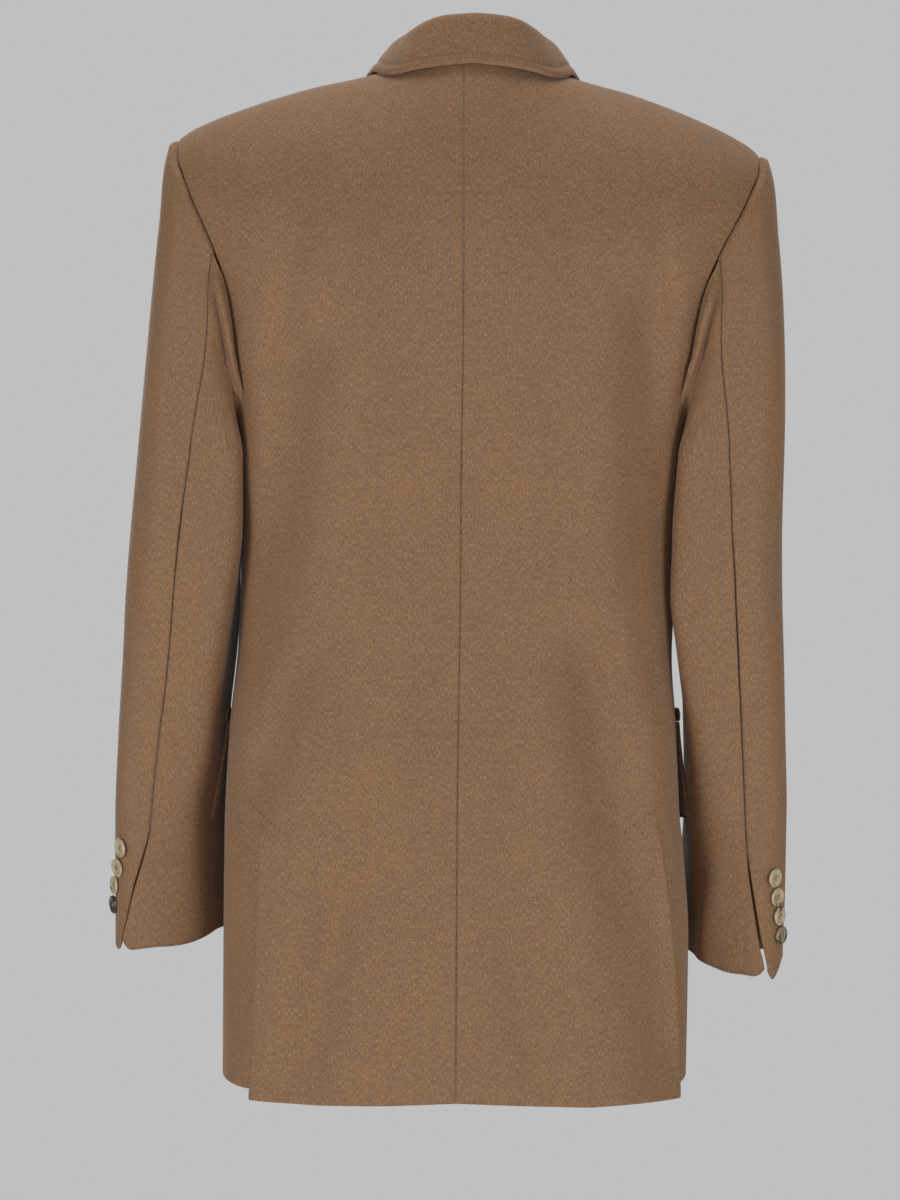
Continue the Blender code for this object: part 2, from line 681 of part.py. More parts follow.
def sleeve_point(side, step, turn, along):
    """Settled point of a sleeve; along runs 0 to 1 over the cap and 1 to 2 to the cuff."""
    sign = 1.0 if side == "left" else -1.0
    points, outs, runs = armhole_loop(sign)
    here = at_step(points, step)
    out = unit(at_step(outs, step))
    on = unit(np.cross(at_step(runs, step), out)) * sign
    from_shoulder = np.abs((step + 14.0) % ARMHOLE_STEPS - 14.0)
    share = read(HEAD, "along", from_shoulder)[..., None]
    leave = unit(on * share + out * np.sqrt(1 - share ** 2))
    handle = read(HEAD, "handle", from_shoulder)[..., None]
    ring = arm_ring(side, turn, BICEP + 0 * turn)
    down = unit(arm_ring(side, turn, BICEP - 0.02 + 0 * turn) - ring)
    drop = (here - ring)[..., 2:3]
    start = here + leave * GAP
    first = here + leave * handle
    second = ring - down * drop * 0.55
    t = min(max(along, 0.0), 1.0)
    cap = ((1 - t) ** 3 * start + 3 * t * (1 - t) ** 2 * first
           + 3 * t * t * (1 - t) * second + t ** 3 * ring)
    z = BICEP + (cuff_height(side, turn) - BICEP) * max(along - 1.0, 0.0)
    return cap if along <= 1.0 else arm_ring(side, turn, z)


def seam_turn(side, along):
    """Angle of the back seam at a place along the sleeve."""
    return read(BACK_SEAM[side], "turn", BICEP + (CUFF[side][0] - BICEP) * max(along - 1.0, 0.0))


def vent_gap(side, along):
    """Half the opening between the two sleeve pieces, in degrees of turn."""
    low = BICEP + (CUFF[side][0] - BICEP) * max(along - 1.0, 0.0)
    open_share = ease(CUFF_VENT_TOP[side], CUFF[side][0], low)
    width = GAP + (CUFF_VENT_OPEN - GAP) * open_share
    return np.degrees(0.5 * width / 0.045)


def sleeve_rows(side):
    vent = 1.0 + (CUFF_VENT_TOP[side] - BICEP) / (CUFF[side][0] - BICEP)
    cap = np.array((0.0, 0.04, 0.14, 0.30, 0.52, 0.76, 1.0))
    arm = np.linspace(1.0, vent, 6)[1:]
    cuff = np.linspace(vent, 2.0, 5)[1:]
    return np.concatenate((cap, arm, cuff))


def corner_rise(distance, reach):
    """How much a rounded corner lifts the hem at a distance from the edge."""
    return 0.7 * reach * np.clip(1 - np.maximum(distance, 0.0) / reach, 0.0, 1.0) ** 2


def make_sleeve_piece(side, name, upper):
    rows = sleeve_rows(side)
    first, last = (BACK_SEAM_STEP, FRONT_SEAM_STEP)
    if upper:
        last = FRONT_SEAM_STEP - ARMHOLE_STEPS
    inner = np.arange(1, abs(last - first)) / abs(last - first)
    across = np.concatenate(((0.0, 0.005), inner, (0.995, 1.0)))
    half_gap = math.degrees(0.5 * GAP / 0.045)
    way = 1.0 if upper else -1.0
    points = []
    for index, along in enumerate(rows):
        start = seam_turn(side, along) + way * vent_gap(side, along)
        end = (FRONT_SEAM if upper else FRONT_SEAM - 360.0) - way * half_gap
        step = first + (last - first) * (0.0006 + 0.9988 * across)
        turn = start + across * (end - start)
        row = sleeve_point(side, step, turn, along)
        if index == len(rows) - 1:
            distance = (across - 0.005) * abs(turn[-1] - turn[0]) * math.radians(0.042)
            row[:, 2] += corner_rise(distance, 0.010 if upper else 0.007)
        points.append(row)
    return cloth(name, np.array(points), (0, -1, 0) if upper else (0, 1, 0))


# ---- lapels and collar --------------------------------------------------------------

def roll_frame():
    """Direction up the roll line and across it over the lapel, in x and z."""
    rise = read(RIDGE, "height", NECK_HALF) - BREAK
    along = np.array((NECK_HALF + OVERLAP, rise))
    along = along / np.linalg.norm(along)
    return along, np.array((along[1], -along[0]))


def roll_height(turn):
    """Height where the roll line reaches a turn of the rounding in."""
    along, _ = roll_frame()
    x = roll_crossing(math.sin(math.radians(turn)))
    return float(BREAK + (x + OVERLAP) * along[1] / along[0])


def roll_place(z):
    return np.array((roll_x(z), z))


def on_lapel(sign, place, width, lift):
    """Front point at a width across the roll line from an x, z place."""
    along, over = roll_frame()
    x = place[0] + over[0] * width
    z = place[1] + over[1] * width
    return front_point(sign, np.array([x]), np.array([z]), np.array([lift]))[0]


ROLL_TURNS = (-90.0, -35.0, 25.0, 90.0)
ROLL_LIFT = 0.0010        # how far the middle of the roll stands off the front


def roll_section(sign, place, shift=0.0):
    """The rolled edge of a lapel or collar end, from the seam to the top."""
    points = [on_lapel(sign, place, -GAP - shift, ROLL_LIFT - ROLL_RADIUS)]
    for turn in ROLL_TURNS:
        across = -(0.0009 + shift + ROLL_RADIUS * math.cos(math.radians(turn)))
        lift = ROLL_LIFT + ROLL_RADIUS * math.sin(math.radians(turn))
        points.append(on_lapel(sign, place, across, lift))
    return points


def make_lapel(sign):
    along, _ = roll_frame()
    rows = []
    heights = (BREAK + 0.006, *low_heights()[-6:], *(roll_height(t) for t in ROUND_TURNS[:4]))
    across = (0.07, 0.2, 0.36, 0.52, 0.6, 0.7, 0.85, 1.0)
    for z in heights:
        share = (z - heights[0]) / (heights[-1] - heights[0])
        place = roll_place(z)
        width = read(LAPEL, "width", share)
        rise = read(LAPEL, "rise", share)
        kink = ease(0.72, 1.0, share) ** 2
        row = roll_section(sign, place)
        for b in across:
            notch = np.interp(b, (0.0, 0.6, 1.0), (0.0, GORGE_FALL - 0.6 * rise, 0.0))
            up = rise * b + notch * kink
            lift = 0.0042 + 0.0006 * b * (1 - b)
            row.append(on_lapel(sign, place + along * up, width * b, lift))
        rows.append(row)
    return cloth("lapel_" + side_name(sign), np.array(rows), (0, -1, 0), thickness=0.0019)


def fold_section(foot, fold, edge):
    """Nine points from a collar's foot up the stand, over its fold and down the fall."""
    rise = unit(fold - foot)
    fall = edge - fold
    out = unit(fall - rise * np.dot(fall, rise))
    points = [foot, 0.5 * (foot + fold) - out * 0.0006]
    centre = fold + out * COLLAR_ROLL - rise * COLLAR_ROLL
    for turn in (175.0, 90.0, 20.0):
        angle = math.radians(turn)
        points.append(centre + (out * math.cos(angle) + rise * math.sin(angle)) * COLLAR_ROLL)
    last = points[-1]
    for share in (0.28, 0.56, 0.82, 1.0):
        bow = 0.0015 * math.sin(math.pi * share)
        points.append(last + (edge - last) * share + out * bow)
    return points


def collar_end(sign):
    """The gorge end of the collar, beside the lapel's top edge."""
    along, _ = roll_frame()
    start = roll_place(roll_height(GORGE_TURN)) + along * 0.0006
    points = roll_section(sign, start, 0.0009)
    for share in (0.34, 0.68, 0.985):
        place = start + along * GORGE_FALL * share
        points.append(on_lapel(sign, place, GORGE_WIDTH * share, 0.0040))
    place = start + along * COLLAR_POINT[1]
    points.append(on_lapel(sign, place, COLLAR_POINT[0], 0.0042))
    return points


def collar_foot(sign, turn):
    """Where the collar's visible face starts, just inside the neck seam."""
    if turn > 90.0:
        return on_lapel(sign, roll_place(roll_height(180.0 - turn)), -COLLAR_INSET, -0.0004)
    x = NECK_HALF * math.sin(math.radians(turn))
    y = NECK_BACK * math.cos(math.radians(turn))
    z = BLADE + (read(RIDGE, "height", x) - BLADE) * neck_climb(x)
    share = 1 - COLLAR_INSET / NECK_HALF
    return settle(sign * x * share, y * share, z - 0.0004)


def collar_stations(sign):
    stations = []
    for row in zip(*COLLAR.values()):
        fold, edge = (settle(sign * row[k], row[k + 1], row[k + 2]) for k in (1, 4))
        stations.append(fold_section(collar_foot(sign, row[0]), fold, edge))
    return stations


def make_collar():
    right, left = collar_stations(-1), collar_stations(1)
    rows = [collar_end(-1)] + right[:0:-1] + left + [collar_end(1)]
    return cloth("collar", np.array(rows), (0, 1, 0))


# ---- pockets ------------------------------------------------------------------------

def pocket_sheet(sign, name, turns, heights, lift):
    """A sheet on the body's ring between two angles, stood off by lift(turn, z)."""
    turn, z = np.meshgrid(np.asarray(turns, dtype=float), np.asarray(heights, dtype=float))
    px, py, pz = ring_point(sign, turn, z, lift(turn, z))
    middle = math.radians(0.5 * (turns[0] + turns[-1]))
    out = (sign * math.sin(middle), math.cos(middle), 0.0)
    return cloth(name, settle(px, py, pz), out, thickness=0.0020)


def make_flap(sign):
    start, end = FLAP_TURNS
    turns = start + (end - start) * seamed(10, 0.03)
    heights = (FLAP_TOP, FLAP_TOP - 0.012, -0.525, -0.545, -0.562, FLAP_FOOT)
    flare = FLAP_FLARE[side_name(sign)]

    def lift(turn, z):
        down = (FLAP_TOP - z) / (FLAP_TOP - FLAP_FOOT)
        back_end = ease(start + 26.0, start, turn)
        return 0.0024 + (0.0016 + flare * back_end) * down ** 1.2

    return pocket_sheet(sign, "pocket_flap_" + side_name(sign), turns, heights, lift)


def make_jet(sign):
    start, end = FLAP_TURNS
    turns = np.linspace(start - 1.0, end + 1.0, 10)
    heights = (FLAP_TOP + GAP, 0.5 * (FLAP_TOP + JET_TOP), JET_TOP)

    def lift(turn, z):
        bump = ease(start + 10.0, start, turn)
        middle = 1 - np.abs(z - 0.5 * (FLAP_TOP + JET_TOP)) / (0.5 * (JET_TOP - FLAP_TOP))
        return 0.0024 + 0.0006 * middle + 0.0018 * bump

    return pocket_sheet(sign, "pocket_jet_" + side_name(sign), turns, heights, lift)


# ---- buttons ------------------------------------------------------------------------

def surface_of(piece):
    """Search tree over a piece's finished surface."""
    return BVHTree.FromObject(piece, bpy.context.evaluated_depsgraph_get())


def seat(tree, spot, out, radius):
    """Place and direction on the cloth below a spot, clear of it under the whole rim."""
    down = Vector(-out)
    side = down.orthogonal().normalized()
    other = down.cross(side)
    start = Vector(spot) - down * 0.02
    centre, normal, _, _ = tree.ray_cast(start, down)
    normal = normal if normal.dot(down) < 0 else -normal
    rise = 0.0
    for number in range(24):
        angle = math.radians(30 * number)
        reach = radius * (1.0 if number < 12 else 0.6)
        shift = (side * math.cos(angle) + other * math.sin(angle)) * reach
        rim = tree.ray_cast(start + shift, down)[0]
        rise = max(rise, (rim - centre).dot(normal))
    return centre + normal * (rise + GAP), normal


def make_button(name, spot, out, size, colour, steps):
    """A turned button with a rounded rim and a dished face, its back at the spot."""
    radius, thickness = size
    outline = ((0.0, 0.72), (0.64, 0.70), (0.78, 1.0), (0.94, 0.88), (1.0, 0.45), (0.84, 0.0),
               (0.0, 0.0))
    build = bmesh.new()
    verts = [build.verts.new((share * radius, 0.0, up * thickness)) for share, up in outline]
    for first, second in zip(verts, verts[1:]):
        build.edges.new((first, second))
    mesh = bpy.data.meshes.new(name)
    build.to_mesh(mesh)
    build.free()
    piece = keep(name, mesh, colour, 0.25)
    turned = piece.modifiers.new("turned", "SCREW")
    turned.axis = "Z"
    turned.steps = steps
    turned.render_steps = steps
    turned.use_merge_vertices = True
    turned.merge_threshold = 0.00005
    turned.use_smooth_shade = True
    up = Vector(out).to_track_quat("Z", "Y").to_matrix().to_4x4()
    piece.matrix_world = Matrix.Translation(Vector(spot)) @ up
    return piece


def make_front_buttons(front):
    tree = surface_of(front)
    for row, z in enumerate(BUTTON_ROWS, 1):
        for column, x in (("left", -BUTTON_COLUMN), ("right", BUTTON_COLUMN)):
            spot = front_point(-1, np.array([x]), np.array([z]), 0.0)[0]
            place, out = seat(tree, spot, np.array((0.0, -1.0, 0.0)), FRONT_BUTTON[0])
            name = "front_button_%s_%d" % (column, row)
            make_button(name, place, out, FRONT_BUTTON, HORN, 16)


def make_cuff_buttons(side, sleeve):
    tree = surface_of(sleeve)
    for number in range(4):
        z = CUFF_FIRST[side] - CUFF_PITCH * number
        seam = float(read(BACK_SEAM[side], "turn", z))
        turn = np.array((seam, seam + 4.0)) + math.degrees(CUFF_INSET / 0.0405)
        spot, ahead = arm_ring(side, turn, np.array((z, z)))
        run = unit(ahead - spot)
        out = np.array((run[1], -run[0], 0.0))
        out = out if out[1] > 0 else -out
        place, out = seat(tree, spot, out, CUFF_BUTTON[0])
        name = "cuff_button_%s_%d" % (side, number + 1)
        make_button(name, place, out, CUFF_BUTTON, HORN_DARK if number == 3 else HORN, 12)


# ---- the blazer ---------------------------------------------------------------------

def main():
    for leftover in list(bpy.data.objects):
        bpy.data.objects.remove(leftover)
    blazer = bpy.data.collections.new("blazer")
    bpy.context.scene.collection.children.link(blazer)
    for sign in (1, -1):
        side = side_name(sign)
        make_back(sign)
        make_side(sign)
        front = make_front(sign)
        make_lapel(sign)
        sleeve = make_sleeve_piece(side, "upper_sleeve_" + side, True)
        make_sleeve_piece(side, "under_sleeve_" + side, False)
        make_jet(sign)
        make_flap(sign)
        make_cuff_buttons(side, sleeve)
    make_collar()
    make_front_buttons(front)


main()
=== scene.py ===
"""The finished look of a double-breasted wool blazer, worn and seen from behind.

Metres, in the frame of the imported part: +Z up, the wearer faces -Y, the wearer's left is
+X. Every cloth piece is a wall on the same surface functions as its solid, with finer
rows, pressed seams, turned edges and stitch channels. Nap and weave are procedural.
"""

import functools
import math

import bpy
import bmesh
import numpy as np
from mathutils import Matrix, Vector
from mathutils.bvhtree import BVHTree


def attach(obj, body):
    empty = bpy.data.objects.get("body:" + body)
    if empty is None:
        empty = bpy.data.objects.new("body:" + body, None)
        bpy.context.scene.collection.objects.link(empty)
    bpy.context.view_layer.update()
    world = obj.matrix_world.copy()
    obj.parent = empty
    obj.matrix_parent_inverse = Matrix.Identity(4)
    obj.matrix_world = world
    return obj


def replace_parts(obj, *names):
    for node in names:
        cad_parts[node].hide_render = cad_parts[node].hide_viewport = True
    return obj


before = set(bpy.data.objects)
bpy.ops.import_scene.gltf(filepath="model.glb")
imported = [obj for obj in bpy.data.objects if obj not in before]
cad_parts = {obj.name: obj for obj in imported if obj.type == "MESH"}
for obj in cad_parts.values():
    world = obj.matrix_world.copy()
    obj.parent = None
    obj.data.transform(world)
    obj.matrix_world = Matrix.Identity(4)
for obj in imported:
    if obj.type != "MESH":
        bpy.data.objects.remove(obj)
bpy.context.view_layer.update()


def table(names, rows):
    """Named columns of a short table."""
    return dict(zip(names.split(), np.array(rows, dtype=float).T))


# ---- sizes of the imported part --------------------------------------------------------

CLOTH = 0.0020            # thickness of the made-up cloth
GAP = 0.0003              # between pieces at a seam

HEM_BACK = -0.7780        # height of the back panels' hem
HEM_SIDE = -0.7670        # of the side panels' hem
HEM_FRONT = -0.7780       # of the fronts' hem at the front edge
BLADE = -0.1600           # above this height the body rounds in to the shoulders
UNDERARM = -0.2620        # lowest point of the armhole
NOTCH = -0.2350           # height where a side panel's seams meet the armhole
SHOULDER = -0.0427        # height of the shoulder point
VENT_TOP = -0.5670        # top of the side vents
UNDERLAP = 0.040          # width of the side panel's extension behind a vent
VENT_LIFT = 0.0024        # how far a back panel stands off its underlap
VENT_FLARE = {"left": 0.0030, "right": 0.0070}   # and how much further at the hem
VENT_REACH = 0.060        # how far from the vent's edge it starts to stand off
VENT_START = 0.014        # height over which a vent opens
SIDE_RADIUS = 0.085       # of the body's rings at the side seams, for angles

SIDE_BEND = -0.2920       # from this height up, a side panel's rows bend to the armhole
SHOULDER_HALF = 0.2255    # half the width from shoulder point to shoulder point
FOLD_FADE = (0.145, 0.190)   # half widths between which the soft folds die away

NECK_HALF = 0.072         # half the width of the neck at the shoulder ridge
NECK_BACK = 0.058         # how far the neck seam stands behind the ridge

OVERLAP = 0.075           # how far a front passes the middle
BREAK = -0.330            # height where the lapel's roll ends at the front edge
GORGE_TURN = 44.0         # how far up the rounding the gorge meets the roll line
UNDER_DROP = 0.0085       # how deep the left front lies under the right one
UNDER_REACH = 0.085       # how far from the right front's edge it starts to
LEFT_RISE = 0.0020        # of the left front's hem, which hides under the right one
ROLL_RADIUS = 0.0032      # of a lapel's rolled edge

SIDE_POWER = 3.4          # squareness of the rings at the sides
DEPTH_POWER = 2.4         # and at the back and front

# Rings of the body: half width, and how far the back and front stand off the ridge.
BODY = table("z half back front", (
    (-0.800, 0.1808, 0.126, 0.128),
    (-0.660, 0.1808, 0.122, 0.126),
    (-0.580, 0.1805, 0.119, 0.122),
    (-0.500, 0.1775, 0.115, 0.118),
    (-0.430, 0.1718, 0.111, 0.115),
    (-0.355, 0.1705, 0.110, 0.116),
    (-0.300, 0.1738, 0.114, 0.120),
    (-0.250, 0.1785, 0.118, 0.123),
    (-0.130, 0.2114, 0.121, 0.122),
    (-0.090, 0.2317, 0.121, 0.121),
    (-0.043, 0.2420, 0.120, 0.120),
    (0.060, 0.2420, 0.120, 0.120),
))

# The shoulder ridge, and its run under the neck.
RIDGE = table("x height", (
    (-0.040, 0.0270),
    (0.000, 0.0450),
    (0.040, 0.0270),
    (0.072, 0.0098),
    (0.1275, -0.0034),
    (0.1770, -0.0190),
    (0.2140, -0.0345),
    (SHOULDER_HALF, SHOULDER),
    (0.2600, -0.0760),
))

# Half width at the seam between back and side panel, down to the vent edge.
SIDE_SEAM = table("z left right", (
    (-0.800, 0.1545, 0.1665),
    (-0.700, 0.1510, 0.1640),
    (-0.620, 0.1500, 0.1610),
    (-0.567, 0.1500, 0.1590),
    (-0.450, 0.1525, 0.1550),
    (-0.387, 0.1540, 0.1535),
    (-0.357, 0.1565, 0.1545),
    (-0.333, 0.1600, 0.1580),
    (-0.309, 0.1645, 0.1625),
    (-0.270, 0.1700, 0.1695),
    (-0.235, 0.1735, 0.1735),
))

# Half width at the armhole, on the back panel and on the front.
ARMHOLE = table("z back front", (
    (-0.2350, 0.1735, 0.1735),
    (-0.2085, 0.1768, 0.1700),
    (-0.1820, 0.1800, 0.1712),
    (-0.1594, 0.1845, 0.1745),
    (-0.1326, 0.1935, 0.1820),
    (-0.1142, 0.2015, 0.1900),
    (-0.0900, 0.2125, 0.2030),
    (-0.0734, 0.2190, 0.2120),
    (-0.0597, 0.2240, 0.2200),
    (SHOULDER, SHOULDER_HALF, SHOULDER_HALF),
))

# How the worn garment settles: its middle, its right half's fullness, the back seam.
SETTLE = table("z middle right_share back_seam", (
    (-0.800, 0.0048, 0.985, 0.0000),
    (-0.660, 0.0040, 0.995, 0.0000),
    (-0.600, 0.0036, 0.975, 0.0000),
    (-0.560, 0.0034, 0.956, 0.0000),
    (-0.470, 0.0022, 0.952, 0.0000),
    (-0.400, 0.0010, 0.970, 0.0000),
    (-0.330, 0.0002, 0.976, 0.0005),
    (-0.200, -0.0030, 0.985, 0.0020),
    (-0.060, -0.0050, 1.000, 0.0035),
    (0.000, -0.0085, 1.000, 0.0070),
    (0.060, -0.0116, 1.000, 0.0100),
))
RIGHT_DROP = 0.0125       # how much lower the right shoulder point hangs

# Soft folds: heights of both ends, places of top, middle and foot, width, depth.
FOLD_NAMES = "top foot x_top x_middle x_foot width depth"
BACK_FOLDS = table(FOLD_NAMES, (
    (-0.050, -0.230, 0.110, 0.132, 0.141, 0.012, 0.0052),
    (-0.170, -0.480, 0.126, 0.140, 0.165, 0.025, 0.0185),
    (-0.060, -0.220, -0.150, -0.148, -0.146, 0.012, 0.0045),
    (-0.130, -0.480, -0.134, -0.150, -0.164, 0.024, 0.0160),
    (-0.400, -0.790, -0.096, -0.134, -0.166, 0.030, 0.0200),
    (-0.420, -0.570, 0.112, 0.138, 0.160, 0.020, 0.0090),
    (-0.590, -0.790, 0.076, 0.100, 0.124, 0.018, 0.0120),
    (-0.630, -0.790, -0.030, -0.050, -0.076, 0.015, 0.0065),
    (-0.250, -0.560, 0.030, 0.052, 0.078, 0.030, -0.0040),
    (-0.480, -0.790, 0.020, 0.014, 0.006, 0.045, -0.0060),
))
FRONT_FOLDS = table(FOLD_NAMES, (
    (-0.200, -0.360, 0.150, 0.120, 0.100, 0.018, 0.0040),
    (-0.200, -0.360, -0.150, -0.118, -0.098, 0.018, 0.0040),
    (-0.560, -0.790, 0.120, 0.128, 0.132, 0.022, 0.0050),
    (-0.560, -0.790, -0.116, -0.126, -0.134, 0.022, 0.0050),
))

# Soft creases of the sleeves: place along (0 to 1 the cap, 1 to 2 the arm), heading from
# straight back to the outside, lean in degrees over the length, reach, width and depth.
CREASE_NAMES = "along heading lean reach width deep"
SLEEVE_CREASES = {
    "left": table(CREASE_NAMES, (
        (1.90, -78.0, 0.0, 0.12, 16.0, -0.0030),
        (1.10, 38.0, 26.0, 0.26, 18.0, 0.0020),
        (1.42, -30.0, 60.0, 0.12, 18.0, 0.0016),
        (1.55, 24.0, -50.0, 0.16, 15.0, 0.0012),
        (1.50, 150.0, 70.0, 0.10, 20.0, 0.0026),
        (1.62, 205.0, -60.0, 0.12, 22.0, 0.0022),
    )),
    "right": table(CREASE_NAMES, (
        (1.92, -34.0, -120.0, 0.14, 16.0, 0.0040),
        (1.16, 36.0, 34.0, 0.22, 20.0, 0.0018),
        (1.50, -26.0, 55.0, 0.14, 18.0, 0.0018),
        (1.40, 148.0, 60.0, 0.10, 20.0, 0.0024),
        (1.56, 200.0, -70.0, 0.12, 20.0, 0.0024),
    )),
}

# Rings down the arms: outer and inner reach, middle and half depth, how far the inner
# side slants in towards the front, and the squareness of its back corner.
ARM_NAMES = "z outer inner middle depth slant corner"
ARM = {
    "left": table(ARM_NAMES, (
        (-0.670, 0.2726, 0.1885, -0.056, 0.0465, 0.0100, 3.0),
        (-0.620, 0.2722, 0.1882, -0.049, 0.0485, 0.0110, 3.0),
        (-0.570, 0.2714, 0.1880, -0.038, 0.0520, 0.0130, 3.0),
        (-0.500, 0.2674, 0.1860, -0.021, 0.0570, 0.0060, 5.0),
        (-0.440, 0.2632, 0.1795, -0.011, 0.0605, 0.0060, 6.0),
        (-0.400, 0.2610, 0.1755, -0.006, 0.0630, 0.0030, 7.0),
        (-0.355, 0.2575, 0.1736, -0.003, 0.0660, -0.0080, 8.0),
        (-0.290, 0.2515, 0.1775, -0.003, 0.0700, -0.0190, 8.0),
    )),
    "right": table(ARM_NAMES, (
        (-0.690, 0.2530, 0.1788, -0.052, 0.0450, 0.0080, 3.0),
        (-0.630, 0.2545, 0.1770, -0.046, 0.0470, 0.0090, 3.0),
        (-0.570, 0.2547, 0.1776, -0.036, 0.0515, 0.0030, 4.0),
        (-0.500, 0.2525, 0.1756, -0.021, 0.0565, -0.0030, 6.0),
        (-0.440, 0.2505, 0.1733, -0.011, 0.0600, -0.0140, 8.0),
        (-0.400, 0.2490, 0.1706, -0.006, 0.0625, -0.0200, 8.0),
        (-0.355, 0.2485, 0.1685, -0.004, 0.0660, -0.0130, 8.0),
        (-0.290, 0.2500, 0.1752, -0.003, 0.0700, -0.0180, 8.0),
    )),
}
CUFF_HALF = (0.040, 0.046)   # half width and half depth of a cuff
SLEEVE_RADIUS = 0.045     # of a sleeve at the wrist, for angles
CUFF = {                  # height of the cuff's middle, rise to the body, rise forwards
    "left": (-0.6655, 0.19, 0.10),
    "right": (-0.6870, 0.30, 0.10),
}
CUFF_VENT_TOP = {"left": -0.572, "right": -0.592}
CUFF_VENT_OPEN = 0.0046   # width of the cuff vent at its foot
CUFF_RADIUS = 0.042       # of the cuff, for lengths round it
CUFF_CORNER = {"upper": 0.010, "under": 0.012}   # reach of the rounded corners at the vent
STRIP_RISE = {"left": 0.0040, "right": 0.0190}   # how far the button side's hem rises outwards
SEAM_SWING = (0.9, -12.0)   # steps and degrees the back seam swings to the body over the cap
UNDER_EASE = 0.72         # how early the under sleeve's columns turn in under the arm
BICEP = -0.290            # height of the ring that ends the sleeve cap
ARM_POWER = 3.0           # squareness of the rings round the arm
SEAM_POWER = 2.15         # squareness of the ring on which the back seam's angles are given

# The sleeve's back seam as an angle from straight back towards the outside.
BACK_SEAM = {
    "left": table("z turn", ((-0.680, 60.0), (-0.657, 51.0), (-0.620, 36.0), (-0.595, 23.0),
                             (-0.573, 14.5), (-0.538, 10.5), (-0.507, 7.5), (-0.467, 4.0),
                             (-0.400, 2.8), (-0.365, 1.5), (-0.328, -2.0), (-0.290, -9.0))),
    "right": table("z turn", ((-0.700, 38.0), (-0.680, 32.0), (-0.6475, 21.0),
                              (-0.6246, 14.5), (-0.6067, 9.8), (-0.5916, 6.8),
                              (-0.5704, 4.0), (-0.5234, 2.0), (-0.4307, -0.2),
                              (-0.3847, -0.5), (-0.3391, -3.3), (-0.290, -11.0))),
}
FRONT_SEAM = 215.0        # angle of the front seam, all the way down, from straight back

# Steps round the armhole from the shoulder point, down the back and up the front.
ARMHOLE_STEPS = 28
BACK_SEAM_STEP = 7        # where the sleeve's back seam starts
FRONT_SEAM_STEP = 18      # and its front seam

# How a sleeve leaves the armhole, by steps from the shoulder: share along the body's
# own run, and handle length.
HEAD = table("step along handle", (
    (0.0, 0.985, 0.0125),
    (2.8, 0.93, 0.0150),
    (5.5, 0.80, 0.0180),
    (9.0, 0.62, 0.0170),
    (11.5, 0.20, 0.0110),
    (14.0, -0.20, 0.0070),
))

# The lapel: place along the roll line, width across it, rise of its outer edge.
LAPEL = table("along width rise", (
    (0.00, 0.0060, 0.000),
    (0.12, 0.0270, 0.000),
    (0.35, 0.0560, 0.000),
    (0.65, 0.0800, 0.002),
    (0.85, 0.0930, 0.012),
    (1.00, 0.0965, 0.024),
))
GORGE_WIDTH = 0.058       # from the roll line to the inner corner of the notch
GORGE_FALL = -0.0086      # of the notch along the roll line
LAPEL_CLOTH = 0.0019
LAPEL_LIFT = 0.0042       # of the lapel's face, and the collar's tip, off the front
COLLAR_POINT = (0.0640, 0.0170)   # of the collar's tip, across and along the roll line

# The collar's fold and edge from the back seam to just before the gorge. Turns up to
# 90 go round the back of the neck; from there on, the foot follows the roll line.
COLLAR = table("turn fold_x fold_y fold_z edge_x edge_y edge_z", (
    (0.0, 0.0000, 0.0490, 0.0490, 0.0000, 0.0722, 0.0095),
    (20.0, 0.0209, 0.0455, 0.0479, 0.0273, 0.0663, 0.0076),
    (38.0, 0.0344, 0.0396, 0.0456, 0.0461, 0.0583, 0.0054),
    (54.0, 0.0434, 0.0307, 0.0424, 0.0600, 0.0490, 0.0034),
    (68.0, 0.0499, 0.0190, 0.0385, 0.0700, 0.0350, 0.0048),
    (80.0, 0.0538, 0.0056, 0.0342, 0.0762, 0.0185, 0.0089),
    (90.0, 0.0558, -0.0080, 0.0295, 0.0795, 0.0020, 0.0103),
    (100.0, 0.0576, -0.0296, 0.0208, 0.0859, -0.0230, 0.0066),
    (111.0, 0.0580, -0.0499, 0.0092, 0.0949, -0.0463, -0.0052),
    (123.0, 0.0566, -0.0692, -0.0038, 0.1051, -0.0640, -0.0207),
))
COLLAR_ROLL = 0.0042      # outer radius of the collar's fold
COLLAR_INSET = 0.0026     # of the collar's visible face from the neck seam

FLAP_TOP = -0.4950        # heights of the flap's top and foot
FLAP_FOOT = -0.5710
FLAP_TURNS = (92.0, 151.0)   # ring angles of the flap's back and front ends
FLAP_FLARE = {"left": 0.0078, "right": 0.0050}   # how far the flap's foot stands off
FLAP_CLOTH = 0.0034       # a flap is two layers
FLAP_LIFT = 0.0036        # of the flap's face off the front
FLAP_DROOP = 0.0016       # and more at its foot
JET_LIFT = 0.0024
JET_TOP = -0.4840         # height of the jet's top

BUTTON_ROWS = (-0.352, -0.452, -0.552)   # heights of the three rows of front buttons
FRONT_BUTTON = (0.0100, 0.0036)    # radius, thickness
CUFF_BUTTON = (0.0075, 0.0030)
CUFF_SHIFT = {"left": -0.0024, "right": 0.0012}   # of the buttons along x, onto the fine sleeve

